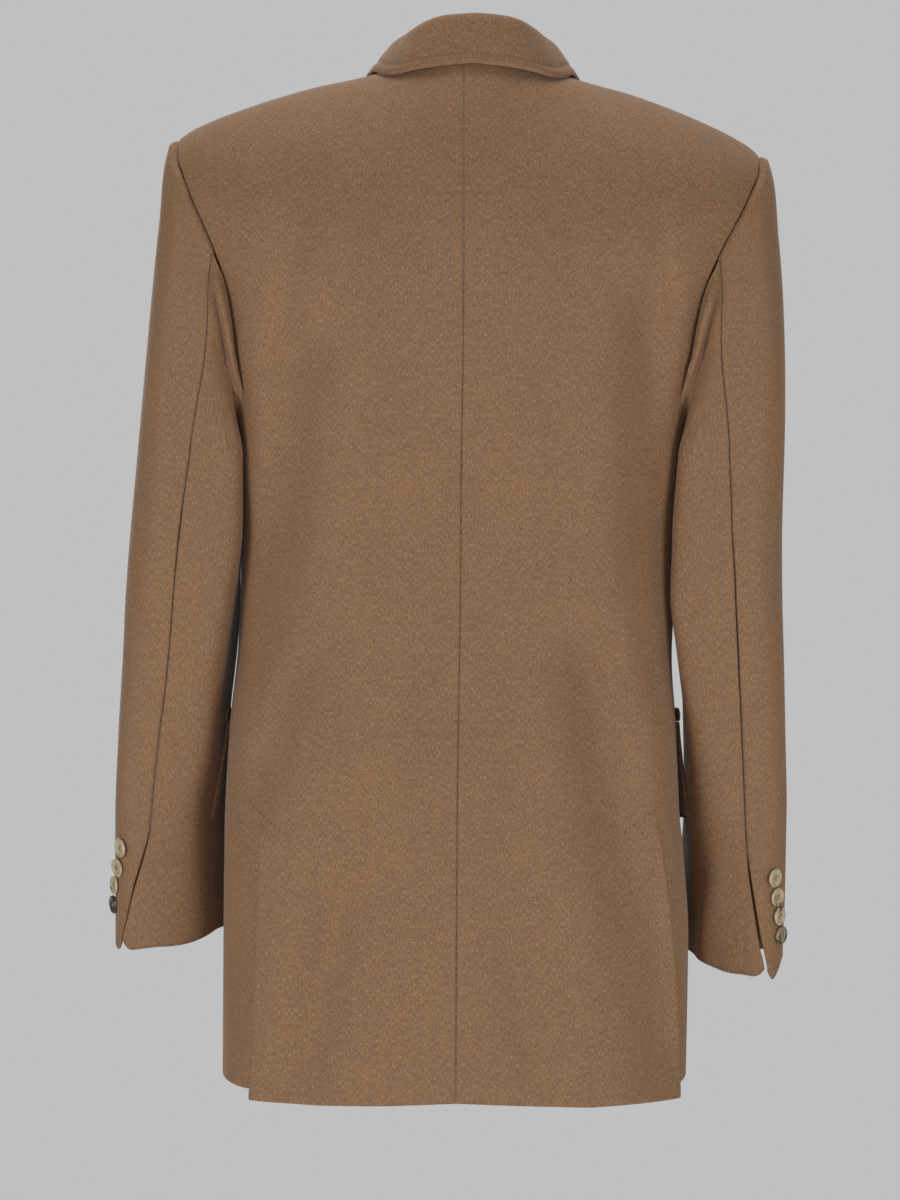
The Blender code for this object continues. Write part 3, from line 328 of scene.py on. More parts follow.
# Soft lights: place, aim, size and power.
LAMPS = (
    ("key_left", (2.05, 2.70, -0.60), (0.0, 0.0, -0.50), (1.3, 1.6), 41.0),
    ("key_right", (-2.05, 2.70, -0.60), (0.0, 0.0, -0.50), (1.3, 1.6), 33.0),
    ("key_middle", (0.20, 3.40, -0.90), (0.0, 0.0, -0.60), (1.2, 1.2), 11.0),
    ("side_left", (2.20, 0.30, -0.60), (0.15, 0.0, -0.60), (0.7, 1.4), 4.0),
    ("side_right", (-2.20, 0.30, -0.60), (-0.15, 0.0, -0.60), (0.7, 1.4), 5.0),
    ("top", (0.0, -0.50, 1.8), (0.0, 0.0, -0.10), (1.2, 0.8), 33.0),
    ("front", (1.2, -3.6, 0.6), (0.0, 0.0, -0.40), (1.6, 1.6), 34.0),
)


# ---- reading the tables -------------------------------------------------------------

def read(chart, name, place):
    """Smooth value of one column where the chart's first column, which rises, equals place."""
    keys = next(iter(chart.values()))
    values = chart[name]
    steps = np.diff(keys)
    rises = np.diff(values) / steps
    before, after = rises[:-1], rises[1:]
    agree = before * after > 0
    slopes = np.concatenate((rises[:1], np.zeros(len(keys) - 2), rises[-1:]))
    slopes[1:-1][agree] = 2 * before[agree] * after[agree] / (before + after)[agree]
    place = np.clip(place, keys[0], keys[-1])
    cell = np.clip(np.searchsorted(keys, place) - 1, 0, len(steps) - 1)
    step = steps[cell]
    t = (place - keys[cell]) / step
    start = (1 + 2 * t) * (1 - t) ** 2 * values[cell]
    start_slope = t * (1 - t) ** 2 * step * slopes[cell]
    end = t * t * (3 - 2 * t) * values[cell + 1]
    end_slope = t * t * (t - 1) * step * slopes[cell + 1]
    return start + start_slope + end + end_slope


def ease(low, high, value):
    """Rise smoothly from 0 at low to 1 at high."""
    t = np.clip((value - low) / (high - low), 0.0, 1.0)
    return t * t * (3 - 2 * t)


def seamed(count, edge=0.010):
    """Places from 0 to 1, even but for a narrow strip along each seam."""
    return np.concatenate(((0.0,), np.linspace(edge, 1.0 - edge, count - 2), (1.0,)))


def unit(vectors):
    """The same directions, with a length of 1."""
    return vectors / np.linalg.norm(vectors, axis=-1, keepdims=True)


# ---- the body's surface -------------------------------------------------------------

def side_name(sign):
    """The wearer's side: left is +X."""
    return "left" if sign > 0 else "right"


def climb(x, z):
    """0 at the shoulder blades, 1 on the shoulder ridge above x."""
    ridge = read(RIDGE, "height", np.abs(x))
    return np.clip((z - BLADE) / (ridge - BLADE), 0.0, 1.0)


def ring_depth(x, z, face):
    """Depth left at x of the back (face 1) or front (face -1), before rounding in."""
    depth = read(BODY, "back" if face > 0 else "front", z)
    across = np.clip(np.abs(x) / read(BODY, "half", z), 0.0, 1.0)
    return depth * (1 - across ** SIDE_POWER) ** (1 / DEPTH_POWER)


def fold_depth(x, z, face):
    """How far the soft folds press the cloth in."""
    folds = BACK_FOLDS if face > 0 else FRONT_FOLDS
    depth = np.zeros(np.broadcast(x, z).shape)
    for top, foot, x_top, x_middle, x_foot, width, deep in zip(*folds.values()):
        t = np.clip((top - z) / (top - foot), 0.0, 1.0)
        centre = (1 - t) ** 2 * x_top + t * t * x_foot
        centre = centre + 2 * t * (1 - t) * (2 * x_middle - 0.5 * (x_top + x_foot))
        ends = ease(top, top - 0.05, z) * ease(foot - 0.02, foot + 0.05, z)
        depth = depth + deep * ends * np.exp(-((x - centre) / width) ** 2)
    return depth


def plain_y(x, z, face):
    """Depth of the back or front at x and z, without folds."""
    return face * ring_depth(x, z, face) * np.sqrt(1 - climb(x, z) ** 2)


def body_y(x, z, face):
    """The same, with its soft folds."""
    fade = 1 - ease(*FOLD_FADE, np.abs(x))
    return plain_y(x, z, face) - face * fold_depth(x, z, face) * fade * np.sqrt(1 - climb(x, z) ** 2)


def body_normal(x, y, z):
    """Outward direction of the body without its folds."""
    face = np.where(y >= 0, 1.0, -1.0)
    half = read(BODY, "half", z)
    depth = np.where(y >= 0, read(BODY, "back", z), read(BODY, "front", z))
    across = np.clip(np.abs(x) / half, 0.0, 1.0) ** (SIDE_POWER - 1) * SIDE_POWER / half
    inward = np.clip(np.abs(y) / depth, 0.0, 1.0) ** (DEPTH_POWER - 1) * DEPTH_POWER / depth
    ring = unit(np.stack((np.sign(x) * across, face * inward, 0.0 * z), axis=-1))
    step = 0.0004
    slopes = []
    for dx, dz in ((step, 0.0), (0.0, step)):
        back = plain_y(x + dx, z + dz, 1) - plain_y(x - dx, z - dz, 1)
        front = plain_y(x + dx, z + dz, -1) - plain_y(x - dx, z - dz, -1)
        slopes.append(np.where(y >= 0, back, front) / (2 * step))
    high = unit(np.stack((-face * slopes[0], face, -face * slopes[1]), axis=-1))
    share = ease(BLADE - 0.03, BLADE, z)[..., None]
    return unit(ring * (1 - share) + high * share)


def settle(x, y, z):
    """Place a point of the even pattern on the worn, slightly uneven garment."""
    share = np.where(x < 0, read(SETTLE, "right_share", z), 1.0)
    high = np.clip((z - UNDERARM) / (SHOULDER - UNDERARM), 0.0, 1.0)
    wide = np.clip(-x / SHOULDER_HALF, 0.0, 1.1) ** 1.4
    world_x = read(SETTLE, "middle", z) + x * share
    return np.stack(np.broadcast_arrays(world_x, y, z - RIGHT_DROP * high * wide), axis=-1)


def lifted(x, z, face, lift):
    """Points on the back or front, moved out by lift."""
    y = body_y(x, z, face)
    out = body_normal(x, y, z)
    return (x + out[..., 0] * lift, y + out[..., 1] * lift, z + out[..., 2] * lift)


def side_turn(x, z):
    """Ring angle from straight back of the ring point at half width x."""
    across = np.clip(x / read(BODY, "half", z), 0.0, 1.0)
    return np.degrees(np.arcsin(across ** (SIDE_POWER / 2)))


def ring_point(sign, turn, z, lift):
    """Point of a ring at an angle from straight back, moved out by lift."""
    sine = np.sin(np.radians(turn))
    cosine = np.cos(np.radians(turn))
    x = sign * read(BODY, "half", z) * sine ** (2 / SIDE_POWER)
    depth = np.where(cosine > 0, read(BODY, "back", z), read(BODY, "front", z))
    y = depth * np.sign(cosine) * np.abs(cosine) ** (2 / DEPTH_POWER)
    fade = 1 - ease(*FOLD_FADE, np.abs(x))
    press = np.where(cosine > 0, fold_depth(x, z, 1), -fold_depth(x, z, -1))
    out = body_normal(x, y, z)
    return x + out[..., 0] * lift, y - press * fade + out[..., 1] * lift, z + 0 * turn


# ---- panels -------------------------------------------------------------------------

def edge_half(sign, z, face):
    """Half width at a panel's outer edge: the side seam, then the armhole."""
    seam = read(SIDE_SEAM, side_name(sign), z)
    armhole = read(ARMHOLE, "back" if face > 0 else "front", z)
    return np.where(z < NOTCH, seam, armhole)


def front_seam_half(z):
    """The seam between front and side panel, mirrored from an even side seam."""
    seam = read(SIDE_SEAM, "left", np.maximum(z, -0.45))
    return np.where(z < NOTCH, seam, read(ARMHOLE, "front", z))


def low_heights():
    """Row heights from just above the hem to the shoulder blades."""
    return np.array((-0.720, -0.650, VENT_TOP - 0.014, VENT_TOP, -0.510, -0.450, -0.390,
                     BREAK, -0.290, -0.262, NOTCH, -0.210, -0.185, BLADE))


# The rounding in above the blades, in degrees: 0 at the blades, 90 on the ridge.
ROUND_TURNS = (12.0, 24.0, 34.0, GORGE_TURN, 57.0, 69.0, 80.0, 88.0, 90.0)


def high_heights():
    """Row heights on the armhole from the shoulder blades to the shoulder point."""
    return BLADE + (SHOULDER - BLADE) * np.sin(np.radians(ROUND_TURNS))


def neck_climb(x):
    """How far a column of the back rises before the neck seam cuts it."""
    across = np.clip(np.abs(x) / NECK_HALF, 0.0, 1.0)
    seam_y = NECK_BACK * np.sqrt(1 - across ** 2)
    return np.sqrt(1 - (seam_y / ring_depth(x, 0.0, 1)) ** 2)


def vent_lift(sign, x, z):
    """How far a back panel stands off near its vent edge."""
    below = ease(VENT_TOP, VENT_TOP - VENT_START, z)
    foot = ease(VENT_TOP, HEM_BACK, z)
    near = ease(VENT_REACH, 0.0, edge_half(sign, z, 1) - np.abs(x))
    return (VENT_LIFT * below + VENT_FLARE[side_name(sign)] * foot) * near


def roll_x(z):
    """Even-pattern x of a front's inner edge: front edge, then roll line."""
    slant = (NECK_HALF + OVERLAP) / (read(RIDGE, "height", NECK_HALF) - BREAK)
    return np.where(z < BREAK, -OVERLAP, -OVERLAP + (z - BREAK) * slant)


def roll_crossing(level):
    """Even-pattern x where the roll line reaches a level of the rounding in."""
    x = np.linspace(-OVERLAP, NECK_HALF, 300)
    slant = (read(RIDGE, "height", NECK_HALF) - BREAK) / (NECK_HALF + OVERLAP)
    line_z = BREAK + (x + OVERLAP) * slant
    return np.interp(level, (line_z - BLADE) / (read(RIDGE, "height", np.abs(x)) - BLADE), x)


def front_lift(sign, x, z):
    """The left front lies under the right one where they overlap."""
    if sign < 0:
        return 0.0 * x
    right_edge = -roll_x(z)
    return -UNDER_DROP * ease(right_edge + UNDER_REACH, right_edge + 0.004, x)


def front_point(sign, x, z, lift):
    """Settled point of a front at even-pattern x, counted towards its own side."""
    px, py, pz = lifted(sign * x, z, -1, lift + front_lift(sign, x, z))
    return settle(px, py, pz)


def underarm_height(turn, back_turn, front_turn):
    """Height of the armhole's foot along a side panel's top edge."""
    across = (turn - 0.5 * (back_turn + front_turn)) / (0.5 * (front_turn - back_turn))
    return UNDERARM + (NOTCH - UNDERARM) * np.abs(across) ** 2.6


def side_turns(sign, z):
    """Ring angles of a side panel's two seams."""
    back_turn = side_turn(read(SIDE_SEAM, side_name(sign), z), z)
    front_turn = 180.0 - side_turn(front_seam_half(z), z)
    return back_turn, front_turn


# ---- armhole and sleeve -------------------------------------------------------------

def armhole_half(sign, face):
    """Even-pattern points of one panel's armhole, from the shoulder down."""
    z = np.concatenate(((SHOULDER,), high_heights()[-3::-1], low_heights()[:-5:-1]))
    x = sign * read(ARMHOLE, "back" if face > 0 else "front", z)
    return np.stack((x, body_y(x, z, face), z), axis=-1)


def armhole_under(sign):
    """The points between, along the top of the side panel."""
    back_turn, front_turn = side_turns(sign, NOTCH)
    turn = back_turn + seamed(9, 0.014)[2:-2] * (front_turn - back_turn)
    height = underarm_height(turn, back_turn, front_turn)
    return np.stack(ring_point(sign, turn, height, 0.0), axis=-1)


@functools.cache
def armhole_loop(sign):
    """Settled points round the armhole, the outward normals and the run there."""
    back, under, front = armhole_half(sign, 1), armhole_under(sign), armhole_half(sign, -1)
    loop = np.concatenate((back, under, front[:0:-1]))
    out = body_normal(*loop.T)
    points = settle(*loop.T)
    run = unit(np.roll(points, -1, axis=0) - np.roll(points, 1, axis=0))
    return points, out, run


def at_step(values, step):
    """Smooth values between the steps of the armhole, which closes on itself."""
    low = np.floor(step).astype(int)
    part = (step - low)[..., None]
    before, start, end, after = (values[(low + k) % ARMHOLE_STEPS] for k in (-1, 0, 1, 2))
    bend = 0.5 * part * (1 - part) * ((1 - part) * (end - before) - part * (after - start))
    return start + (end - start) * part * part * (3 - 2 * part) + bend


def arm_ring(side, turn, z):
    """Point of a sleeve ring, its turn measured from straight back to the outside."""
    sign = 1.0 if side == "left" else -1.0
    chart = ARM[side]
    outer, inner = read(chart, "outer", z), read(chart, "inner", z)
    middle, depth = read(chart, "middle", z), read(chart, "depth", z)
    sine, cosine = np.sin(np.radians(turn)), np.cos(np.radians(turn))
    ahead = np.sign(cosine) * np.abs(cosine) ** (2 / ARM_POWER)
    aside = np.sign(sine) * np.abs(sine) ** (2 / ARM_POWER)
    corner = read(chart, "corner", z)
    square = (np.abs(ahead) ** corner + np.abs(aside) ** corner) ** (-1 / corner)
    square = np.where((sine < 0) & (cosine > 0), square, 1.0)
    ahead = ahead * square
    x = 0.5 * (outer + inner) + 0.5 * (outer - inner) * aside * square
    slant = read(chart, "slant", z)
    late = np.where(slant < 0, np.abs(ahead), 1.0)
    x = x + slant * ahead * np.clip(-sine, 0.0, 1.0) ** 1.5 * late
    return np.stack(np.broadcast_arrays(sign * x, middle + depth * ahead, z), axis=-1)


def cuff_height(side, turn):
    """Height of the cuff's edge, which rises to the body and forwards."""
    middle, to_body, forwards = CUFF[side]
    sine, cosine = np.sin(np.radians(turn)), np.cos(np.radians(turn))
    return middle - to_body * CUFF_HALF[0] * sine - forwards * CUFF_HALF[1] * cosine


def sleeve_point(side, step, turn, along):
    """Settled point of a sleeve, where along runs 0 to 1 over the cap and 1 to 2 to the cuff."""
    sign = 1.0 if side == "left" else -1.0
    points, outs, runs = armhole_loop(sign)
    here = at_step(points, step)
    out = unit(at_step(outs, step))
    on = unit(np.cross(at_step(runs, step), out)) * sign
    from_shoulder = np.abs((step + ARMHOLE_STEPS / 2) % ARMHOLE_STEPS - ARMHOLE_STEPS / 2)
    share = read(HEAD, "along", from_shoulder)[..., None]
    leave = unit(on * share + out * np.sqrt(1 - share ** 2))
    handle = read(HEAD, "handle", from_shoulder)[..., None]
    ring = arm_ring(side, turn, BICEP + 0 * turn)
    down = unit(arm_ring(side, turn, BICEP - 0.02 + 0 * turn) - ring)
    drop = (here - ring)[..., 2:3]
    start = here + leave * GAP
    first = here + leave * handle
    second = ring - down * drop * 0.55
    t = min(max(along, 0.0), 1.0)
    cap = ((1 - t) ** 3 * start + 3 * t * (1 - t) ** 2 * first
           + 3 * t * t * (1 - t) * second + t ** 3 * ring)
    z = BICEP + (cuff_height(side, turn) - BICEP) * max(along - 1.0, 0.0)
    return cap if along <= 1.0 else arm_ring(side, turn, z)


def seam_turn(side, along):
    """Angle of the back seam at a place along the sleeve."""
    turn = read(BACK_SEAM[side], "turn", BICEP + (CUFF[side][0] - BICEP) * max(along - 1.0, 0.0))
    sine = np.sin(np.radians(turn))
    return np.degrees(np.sign(sine) * np.arcsin(np.abs(sine) ** (ARM_POWER / SEAM_POWER)))


def seam_swing(along):
    """Share of the back seam's swing at a place along the sleeve."""
    return math.sin(math.pi * along) ** 1.3 if 0.0 < along < 1.0 else 0.0


def vent_gap(side, along):
    """Half the opening between the two sleeve pieces, in degrees of turn."""
    low = BICEP + (CUFF[side][0] - BICEP) * max(along - 1.0, 0.0)
    share = np.clip((CUFF_VENT_TOP[side] - low) / (CUFF_VENT_TOP[side] - CUFF[side][0]), 0.0, 1.0)
    return np.degrees(0.5 * CUFF_VENT_OPEN * share ** 0.8 / SLEEVE_RADIUS)


def corner_rise(distance, reach):
    """How much a rounded corner lifts the hem at a distance from the edge."""
    return 0.7 * reach * np.clip(1 - np.maximum(distance, 0.0) / reach, 0.0, 1.0) ** 2


# ---- lapels and collar --------------------------------------------------------------

def roll_frame():
    """Direction up the roll line and across it over the lapel, in x and z."""
    rise = read(RIDGE, "height", NECK_HALF) - BREAK
    along = np.array((NECK_HALF + OVERLAP, rise))
    along = along / np.linalg.norm(along)
    return along, np.array((along[1], -along[0]))


def roll_height(turn):
    """Height where the roll line reaches a turn of the rounding in."""
    along, _ = roll_frame()
    x = roll_crossing(math.sin(math.radians(turn)))
    return float(BREAK + (x + OVERLAP) * along[1] / along[0])


def roll_place(z):
    """Even-pattern place on the roll line, as x and z."""
    return np.array((roll_x(z), z))


def on_lapel(sign, place, width, lift):
    """Front points at widths across the roll line from x, z places."""
    _, over = roll_frame()
    return front_point(sign, place[0] + over[0] * width, place[1] + over[1] * width, lift)


ROLL_TURNS = (-90.0, -62.0, -35.0, -5.0, 25.0, 58.0, 90.0)
ROLL_LIFT = 0.0010        # how far the middle of the roll stands off the front


def roll_offsets(shift=0.0, turns=ROLL_TURNS):
    """Widths and lifts of the rolled edge of a lapel or collar end, from the seam to the top."""
    turn = np.radians(turns)
    widths = -(0.0009 + shift + ROLL_RADIUS * np.cos(turn))
    lifts = ROLL_LIFT + ROLL_RADIUS * np.sin(turn)
    return (np.concatenate(((-GAP - shift,), widths)),
            np.concatenate(((ROLL_LIFT - ROLL_RADIUS,), lifts)))


def fold_section(foot, fold, edge):
    """Nine points from a collar's foot up the stand, over its fold and down the fall."""
    rise = unit(fold - foot)
    fall = edge - fold
    out = unit(fall - rise * np.dot(fall, rise))
    points = [foot, 0.5 * (foot + fold) - out * 0.0006]
    centre = fold + out * COLLAR_ROLL - rise * COLLAR_ROLL
    for turn in (175.0, 90.0, 20.0):
        angle = math.radians(turn)
        points.append(centre + (out * math.cos(angle) + rise * math.sin(angle)) * COLLAR_ROLL)
    last = points[-1]
    for share in (0.28, 0.56, 0.82, 1.0):
        bow = 0.0015 * math.sin(math.pi * share)
        points.append(last + (edge - last) * share + out * bow)
    return points


def collar_end(sign):
    """The gorge end of the collar, beside the lapel's top edge."""
    along, _ = roll_frame()
    start = roll_place(roll_height(GORGE_TURN)) + along * 0.0006
    points = list(on_lapel(sign, start, *roll_offsets(0.0009, (-90.0, -35.0, 25.0, 90.0))))
    for share in (0.34, 0.68, 0.985):
        place = start + along * GORGE_FALL * share
        points.append(on_lapel(sign, place, GORGE_WIDTH * share, 0.0040))
    place = start + along * COLLAR_POINT[1]
    points.append(on_lapel(sign, place, COLLAR_POINT[0], LAPEL_LIFT))
    return points


def collar_foot(sign, turn):
    """Where the collar's visible face starts, just inside the neck seam."""
    if turn > 90.0:
        return on_lapel(sign, roll_place(roll_height(180.0 - turn)), -COLLAR_INSET, -0.0004)
    x = NECK_HALF * math.sin(math.radians(turn))
    y = NECK_BACK * math.cos(math.radians(turn))
    z = BLADE + (read(RIDGE, "height", x) - BLADE) * neck_climb(x)
    share = 1 - COLLAR_INSET / NECK_HALF
    return settle(sign * x * share, y * share, z - 0.0004)


# ---- fine sheets --------------------------------------------------------------------

FRONT_OUT = (0, -1, 0)    # roughly outwards at the fronts and lapels
BACK_OUT = (0, 1, 0)      # and at the back and collar
CLOSE = 0.00003           # half of what is left between two pieces at a pressed seam
PITCH = 0.0054            # of the pick stitches
STITCH_INSET = 0.0055     # of the pick stitches from an edge
PUCKER = 0.0085           # from one pucker of a sleeve head to the next
NEAR = (0.0, 0.0004, 0.0009, 0.0016, 0.0026, 0.0040)


def spread(length, step, first=NEAR, last=NEAR):
    """Places from 0 to 1 along a length, about a step apart, closer at both edges."""
    low, high = first[-1], length - last[-1]
    count = max(int(round((high - low) / step)), 1)
    middle = np.linspace(low, high, count + 1)[1:-1]
    places = np.concatenate((first, middle, length - np.array(last[::-1])))
    return places / length


# Rough width of each piece, and the distance between the columns of its grid.
COLUMNS = {
    "back": (0.17, 0.0028),
    "front": (0.20, 0.0036),
    "side": (0.13, 0.0034),
    "upper": (0.22, 0.0032),
    "under": (0.15, 0.0032),
    "flap": (0.14, 0.0027),
    "jet": (0.14, 0.0035),
    "lapel": (0.085, 0.0026),
}
# Rough height of each run of rows, and the distance between them.
ROWS = {
    "shoulder": (0.19, 0.0052),
    "underarm": (0.040, 0.0055),
    "cap": (0.20, 0.0052),
    "arm": (0.38, 0.0062),
    "flap": (0.076, 0.0027),
    "jet": (0.0107, 0.0012),
    "lapel": (0.30, 0.00135),
}
BODY_STEP = 0.0060        # between rows from the hem to the blades
SIDE_STEP = 0.0065
LAP_STEP = 0.0032         # between columns of a vent's underlap


def bump(distance, width):
    """A soft bell, 1 at no distance."""
    return np.exp(-(distance / width) ** 2)


def grid_normals(points, out):
    """Unit normals of a grid. The outward direction given is a rough one, at its middle."""
    normals = unit(np.cross(np.gradient(points, axis=1), np.gradient(points, axis=0)) + 1e-12)
    middle = normals[points.shape[0] // 2, points.shape[1] // 2]
    return normals if np.dot(middle, out) > 0 else -normals


def arcs(points):
    """Lengths along the rows and up the columns of a grid of points."""
    across = np.linalg.norm(np.diff(points, axis=1), axis=2)
    up = np.linalg.norm(np.diff(points, axis=0), axis=2)
    u = np.concatenate((np.zeros((len(points), 1)), np.cumsum(across, axis=1)), axis=1)
    v = np.concatenate((np.zeros((1, points.shape[1])), np.cumsum(up, axis=0)), axis=0)
    return u, v


def profile(*waves):
    """An edge profile of soft ridges and troughs, each with its height, place and width."""
    def rise(distance, run):
        return sum(height * bump(distance - place, width) for height, place, width in waves)

    return rise


OPEN_SEAM = ((-0.00042, 0.0, 0.0006), (0.00010, 0.004, 0.0025))
seam = profile(*OPEN_SEAM)                                        # pressed open, drawn in
back_seam = profile(*OPEN_SEAM, (-0.00060, 0.0, 0.0006))          # a fine clear line
vent_edge = profile((0.0006, 0.003, 0.003), (-0.0008, 0.0, 0.0007))   # pressed, a little proud
faint_seam = profile((-0.00018, 0.0, 0.0005))                     # lost in the nap
set_in = profile((-0.0008, 0.0, 0.0009))                          # under the sleeve head
turned = profile((-0.0008, 0.0, 0.0007))                          # a turned and pressed free edge
sunk_and_roped = profile((-0.0010, 0.0, 0.0010), (0.0006, 0.0050, 0.0034))


def sleeve_head(distance, run):
    """The sleeve's edge: sunk at the seam, roped beside it, with small puckers of ease."""
    puckers = 0.00022 * np.sin(run * 2 * math.pi / PUCKER) * bump(distance - 0.003, 0.0045)
    return sunk_and_roped(distance, run) + puckers


def picked(distance, run, inset, even, dimple, wide, swell):
    """A turned edge with a dimpled channel of pick stitches and a soft swell outside it."""
    dimples = 0.5 + 0.5 * np.cos(run * 2 * math.pi / PITCH)
    channel = -(even + dimple * dimples) * bump(distance - inset, wide)
    height, place, width = swell
    return turned(distance, run) + channel + height * bump(distance - place, width)


def stitched(distance, run):
    """A thin edge, with its pick stitches close by."""
    swell = (0.00055, 0.5 * STITCH_INSET, 0.32 * STITCH_INSET)
    return picked(distance, run, STITCH_INSET, 0.00022, 0.00042, 0.0012, swell)


def pressed(points, out, start=None, end=None, foot=None, top=None, push=0.0):
    """Grid points with their four edges shaped by the given profiles."""
    u, v = arcs(points)
    rise = np.zeros(u.shape) + push
    edges = ((start, u, v), (end, u[:, -1:] - u, v), (foot, v, u), (top, v[-1:] - v, u))
    for shaped, distance, run in edges:
        if shaped is not None:
            rise = rise + shaped(distance, run)
    return points + grid_normals(points, out) * rise[..., None]


def wall(name, points, out, leave_out=None, thickness=CLOTH, cut_from=None, bias=0.0, even_row=None):
    """A closed wall of cloth under a grid of points, with its cut as the UV map."""
    rows, columns = points.shape[:2]
    normals = grid_normals(points, out)
    inner = points - normals * thickness
    number = np.arange(rows * columns).reshape(rows, columns)
    quads = np.stack((number[:-1, :-1], number[:-1, 1:], number[1:, 1:], number[1:, :-1]), axis=-1)
    if leave_out is not None:
        quads = quads[~leave_out(*np.indices(quads.shape[:2]))]
    quads = quads.reshape(-1, 4)
    flat_points, flat_normals = points.reshape(-1, 3), normals.reshape(-1, 3)
    a, b, c = (flat_points[quads[len(quads) // 2, k]] for k in (0, 1, 3))
    if np.dot(np.cross(b - a, c - a), flat_normals[quads[len(quads) // 2, 0]]) < 0:
        quads = quads[:, ::-1]
    count = rows * columns
    edges = np.concatenate([quads[:, [k, (k + 1) % 4]] for k in range(4)])
    keys = edges.min(axis=1) * count + edges.max(axis=1)
    _, place, uses = np.unique(keys, return_index=True, return_counts=True)
    rim = edges[place[uses == 1]]
    rim_quads = np.stack((rim[:, 1], rim[:, 0], rim[:, 0] + count, rim[:, 1] + count), axis=-1)
    faces = np.concatenate((quads, quads[:, ::-1] + count, rim_quads))
    verts = np.concatenate((flat_points, inner.reshape(-1, 3)))
    used, faces = np.unique(faces, return_inverse=True)
    mesh = bpy.data.meshes.new(name)
    mesh.from_pydata(verts[used].tolist(), [], faces.reshape(-1, 4).tolist())
    u, v = arcs(points)
    if cut_from is not None:
        u = u - np.asarray(cut_from)[:, None]
    if even_row is not None:
        v = v - v[even_row]
    flat = np.stack((u, v), axis=-1).reshape(-1, 2)
    turn = math.radians(bias)
    flat = flat @ np.array(((math.cos(turn), math.sin(turn)), (-math.sin(turn), math.cos(turn))))
    flat = np.concatenate((flat, flat))[used]
    layer = mesh.uv_layers.new(name="cut")
    corner = np.empty(len(mesh.loops), dtype=np.int32)
    mesh.loops.foreach_get("vertex_index", corner)
    layer.data.foreach_set("uv", flat[corner].astype(np.float32).ravel())
    mesh.shade_smooth()
    return keep_piece(name, mesh, WOOL_CLOTH)


def keep_piece(name, mesh, finish):
    """A finished piece that rides on the part's one body."""
    piece = bpy.data.objects.new(name, mesh)
    mesh.materials.clear()
    mesh.materials.append(finish)
    bpy.context.scene.collection.objects.link(piece)
    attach(piece, "root")
    return piece


def through(points, counts):
    """Smooth curve through points along axis 0, with a count of steps for each span."""
    gaps = np.linalg.norm(np.diff(points, axis=0), axis=-1)
    while gaps.ndim > 1:
        gaps = gaps.mean(axis=-1)
    keys = np.concatenate(((0.0,), np.cumsum(np.maximum(gaps, 1e-6))))
    spans = np.diff(keys).reshape(-1, *([1] * (points.ndim - 1)))
    rises = np.diff(points, axis=0) / spans
    inner = (rises[:-1] * spans[1:] + rises[1:] * spans[:-1]) / (spans[1:] + spans[:-1])
    slopes = np.concatenate((rises[:1], inner, rises[-1:]))
    made = []
    for k, count in enumerate(counts):
        for t in np.arange(count) / count:
            step = keys[k + 1] - keys[k]
            made.append((1 + 2 * t) * (1 - t) ** 2 * points[k] + t * (1 - t) ** 2 * step * slopes[k]
                        + t * t * (3 - 2 * t) * points[k + 1] + t * t * (t - 1) * step * slopes[k + 1])
    made.append(points[-1])
    return np.array(made)


def inside_edge(points, out, edge, inset, first=0.0, last=0.0):
    """A line at an inset from one edge of a grid, and the outward directions along it.

    first and last are how far from the line's two ends it starts and stops."""
    grids = [points, grid_normals(points, out)]
    if edge in ("foot", "top"):
        grids = [grid.swapaxes(0, 1) for grid in grids]
    if edge in ("end", "top"):
        grids = [grid[:, ::-1] for grid in grids]
    away = arcs(grids[0])[0]
    line, ups = (np.array([[np.interp(inset, d, row[:, k]) for k in range(3)] for d, row in zip(away, grid)])
                 for grid in grids)
    run = np.concatenate(((0.0,), np.cumsum(np.linalg.norm(np.diff(line, axis=0), axis=1))))
    keep = (run >= first) & (run <= run[-1] - last)
    return line[keep], unit(ups[keep])


# ---- finishes -----------------------------------------------------------------------

def node(tree, kind, **values):
    """A new node, with its settings."""
    made = tree.nodes.new(kind)
    for key, value in values.items():
        setattr(made, key, value)
    return made


def feed(tree, socket, value):
    """Link an output to a socket, or set the socket to a plain value."""
    if isinstance(value, bpy.types.NodeSocket):
        tree.links.new(value, socket)
    else:
        socket.default_value = value


def math_node(tree, operation, first, second):
    """The result of one sum of two inputs."""
    made = node(tree, "ShaderNodeMath", operation=operation)
    feed(tree, made.inputs[0], first)
    feed(tree, made.inputs[1], second)
    return made.outputs[0]


def noise(tree, vector, scale, detail, stretch=(1.0, 1.0, 1.0)):
    """Noise on a stretched vector, its scale in waves to the metre."""
    mapping = node(tree, "ShaderNodeMapping")
    mapping.inputs["Scale"].default_value = stretch
    feed(tree, mapping.inputs["Vector"], vector)
    made = node(tree, "ShaderNodeTexNoise", noise_dimensions="3D")
    made.inputs["Scale"].default_value = scale
    made.inputs["Detail"].default_value = detail
    made.inputs["Roughness"].default_value = 0.6
    feed(tree, made.inputs["Vector"], mapping.outputs[0])
    return made.outputs["Fac"]


def ramp(tree, value, low, high, to_low=0.0, to_high=1.0):
    """A smooth step of a value between two limits."""
    made = node(tree, "ShaderNodeMapRange", interpolation_type="SMOOTHSTEP")
    for name, number in (("From Min", low), ("From Max", high), ("To Min", to_low), ("To Max", to_high)):
        feed(tree, made.inputs[name], number)
    feed(tree, made.inputs["Value"], value)
    return made.outputs[0]


def mix_colour(tree, share, first, second, blend="MIX"):
    """A mix of two colours."""
    made = node(tree, "ShaderNodeMix", data_type="RGBA", blend_type=blend)
    for socket, value in zip((made.inputs[0], made.inputs[6], made.inputs[7]), (share, first, second)):
        feed(tree, socket, value)
    return made.outputs[2]


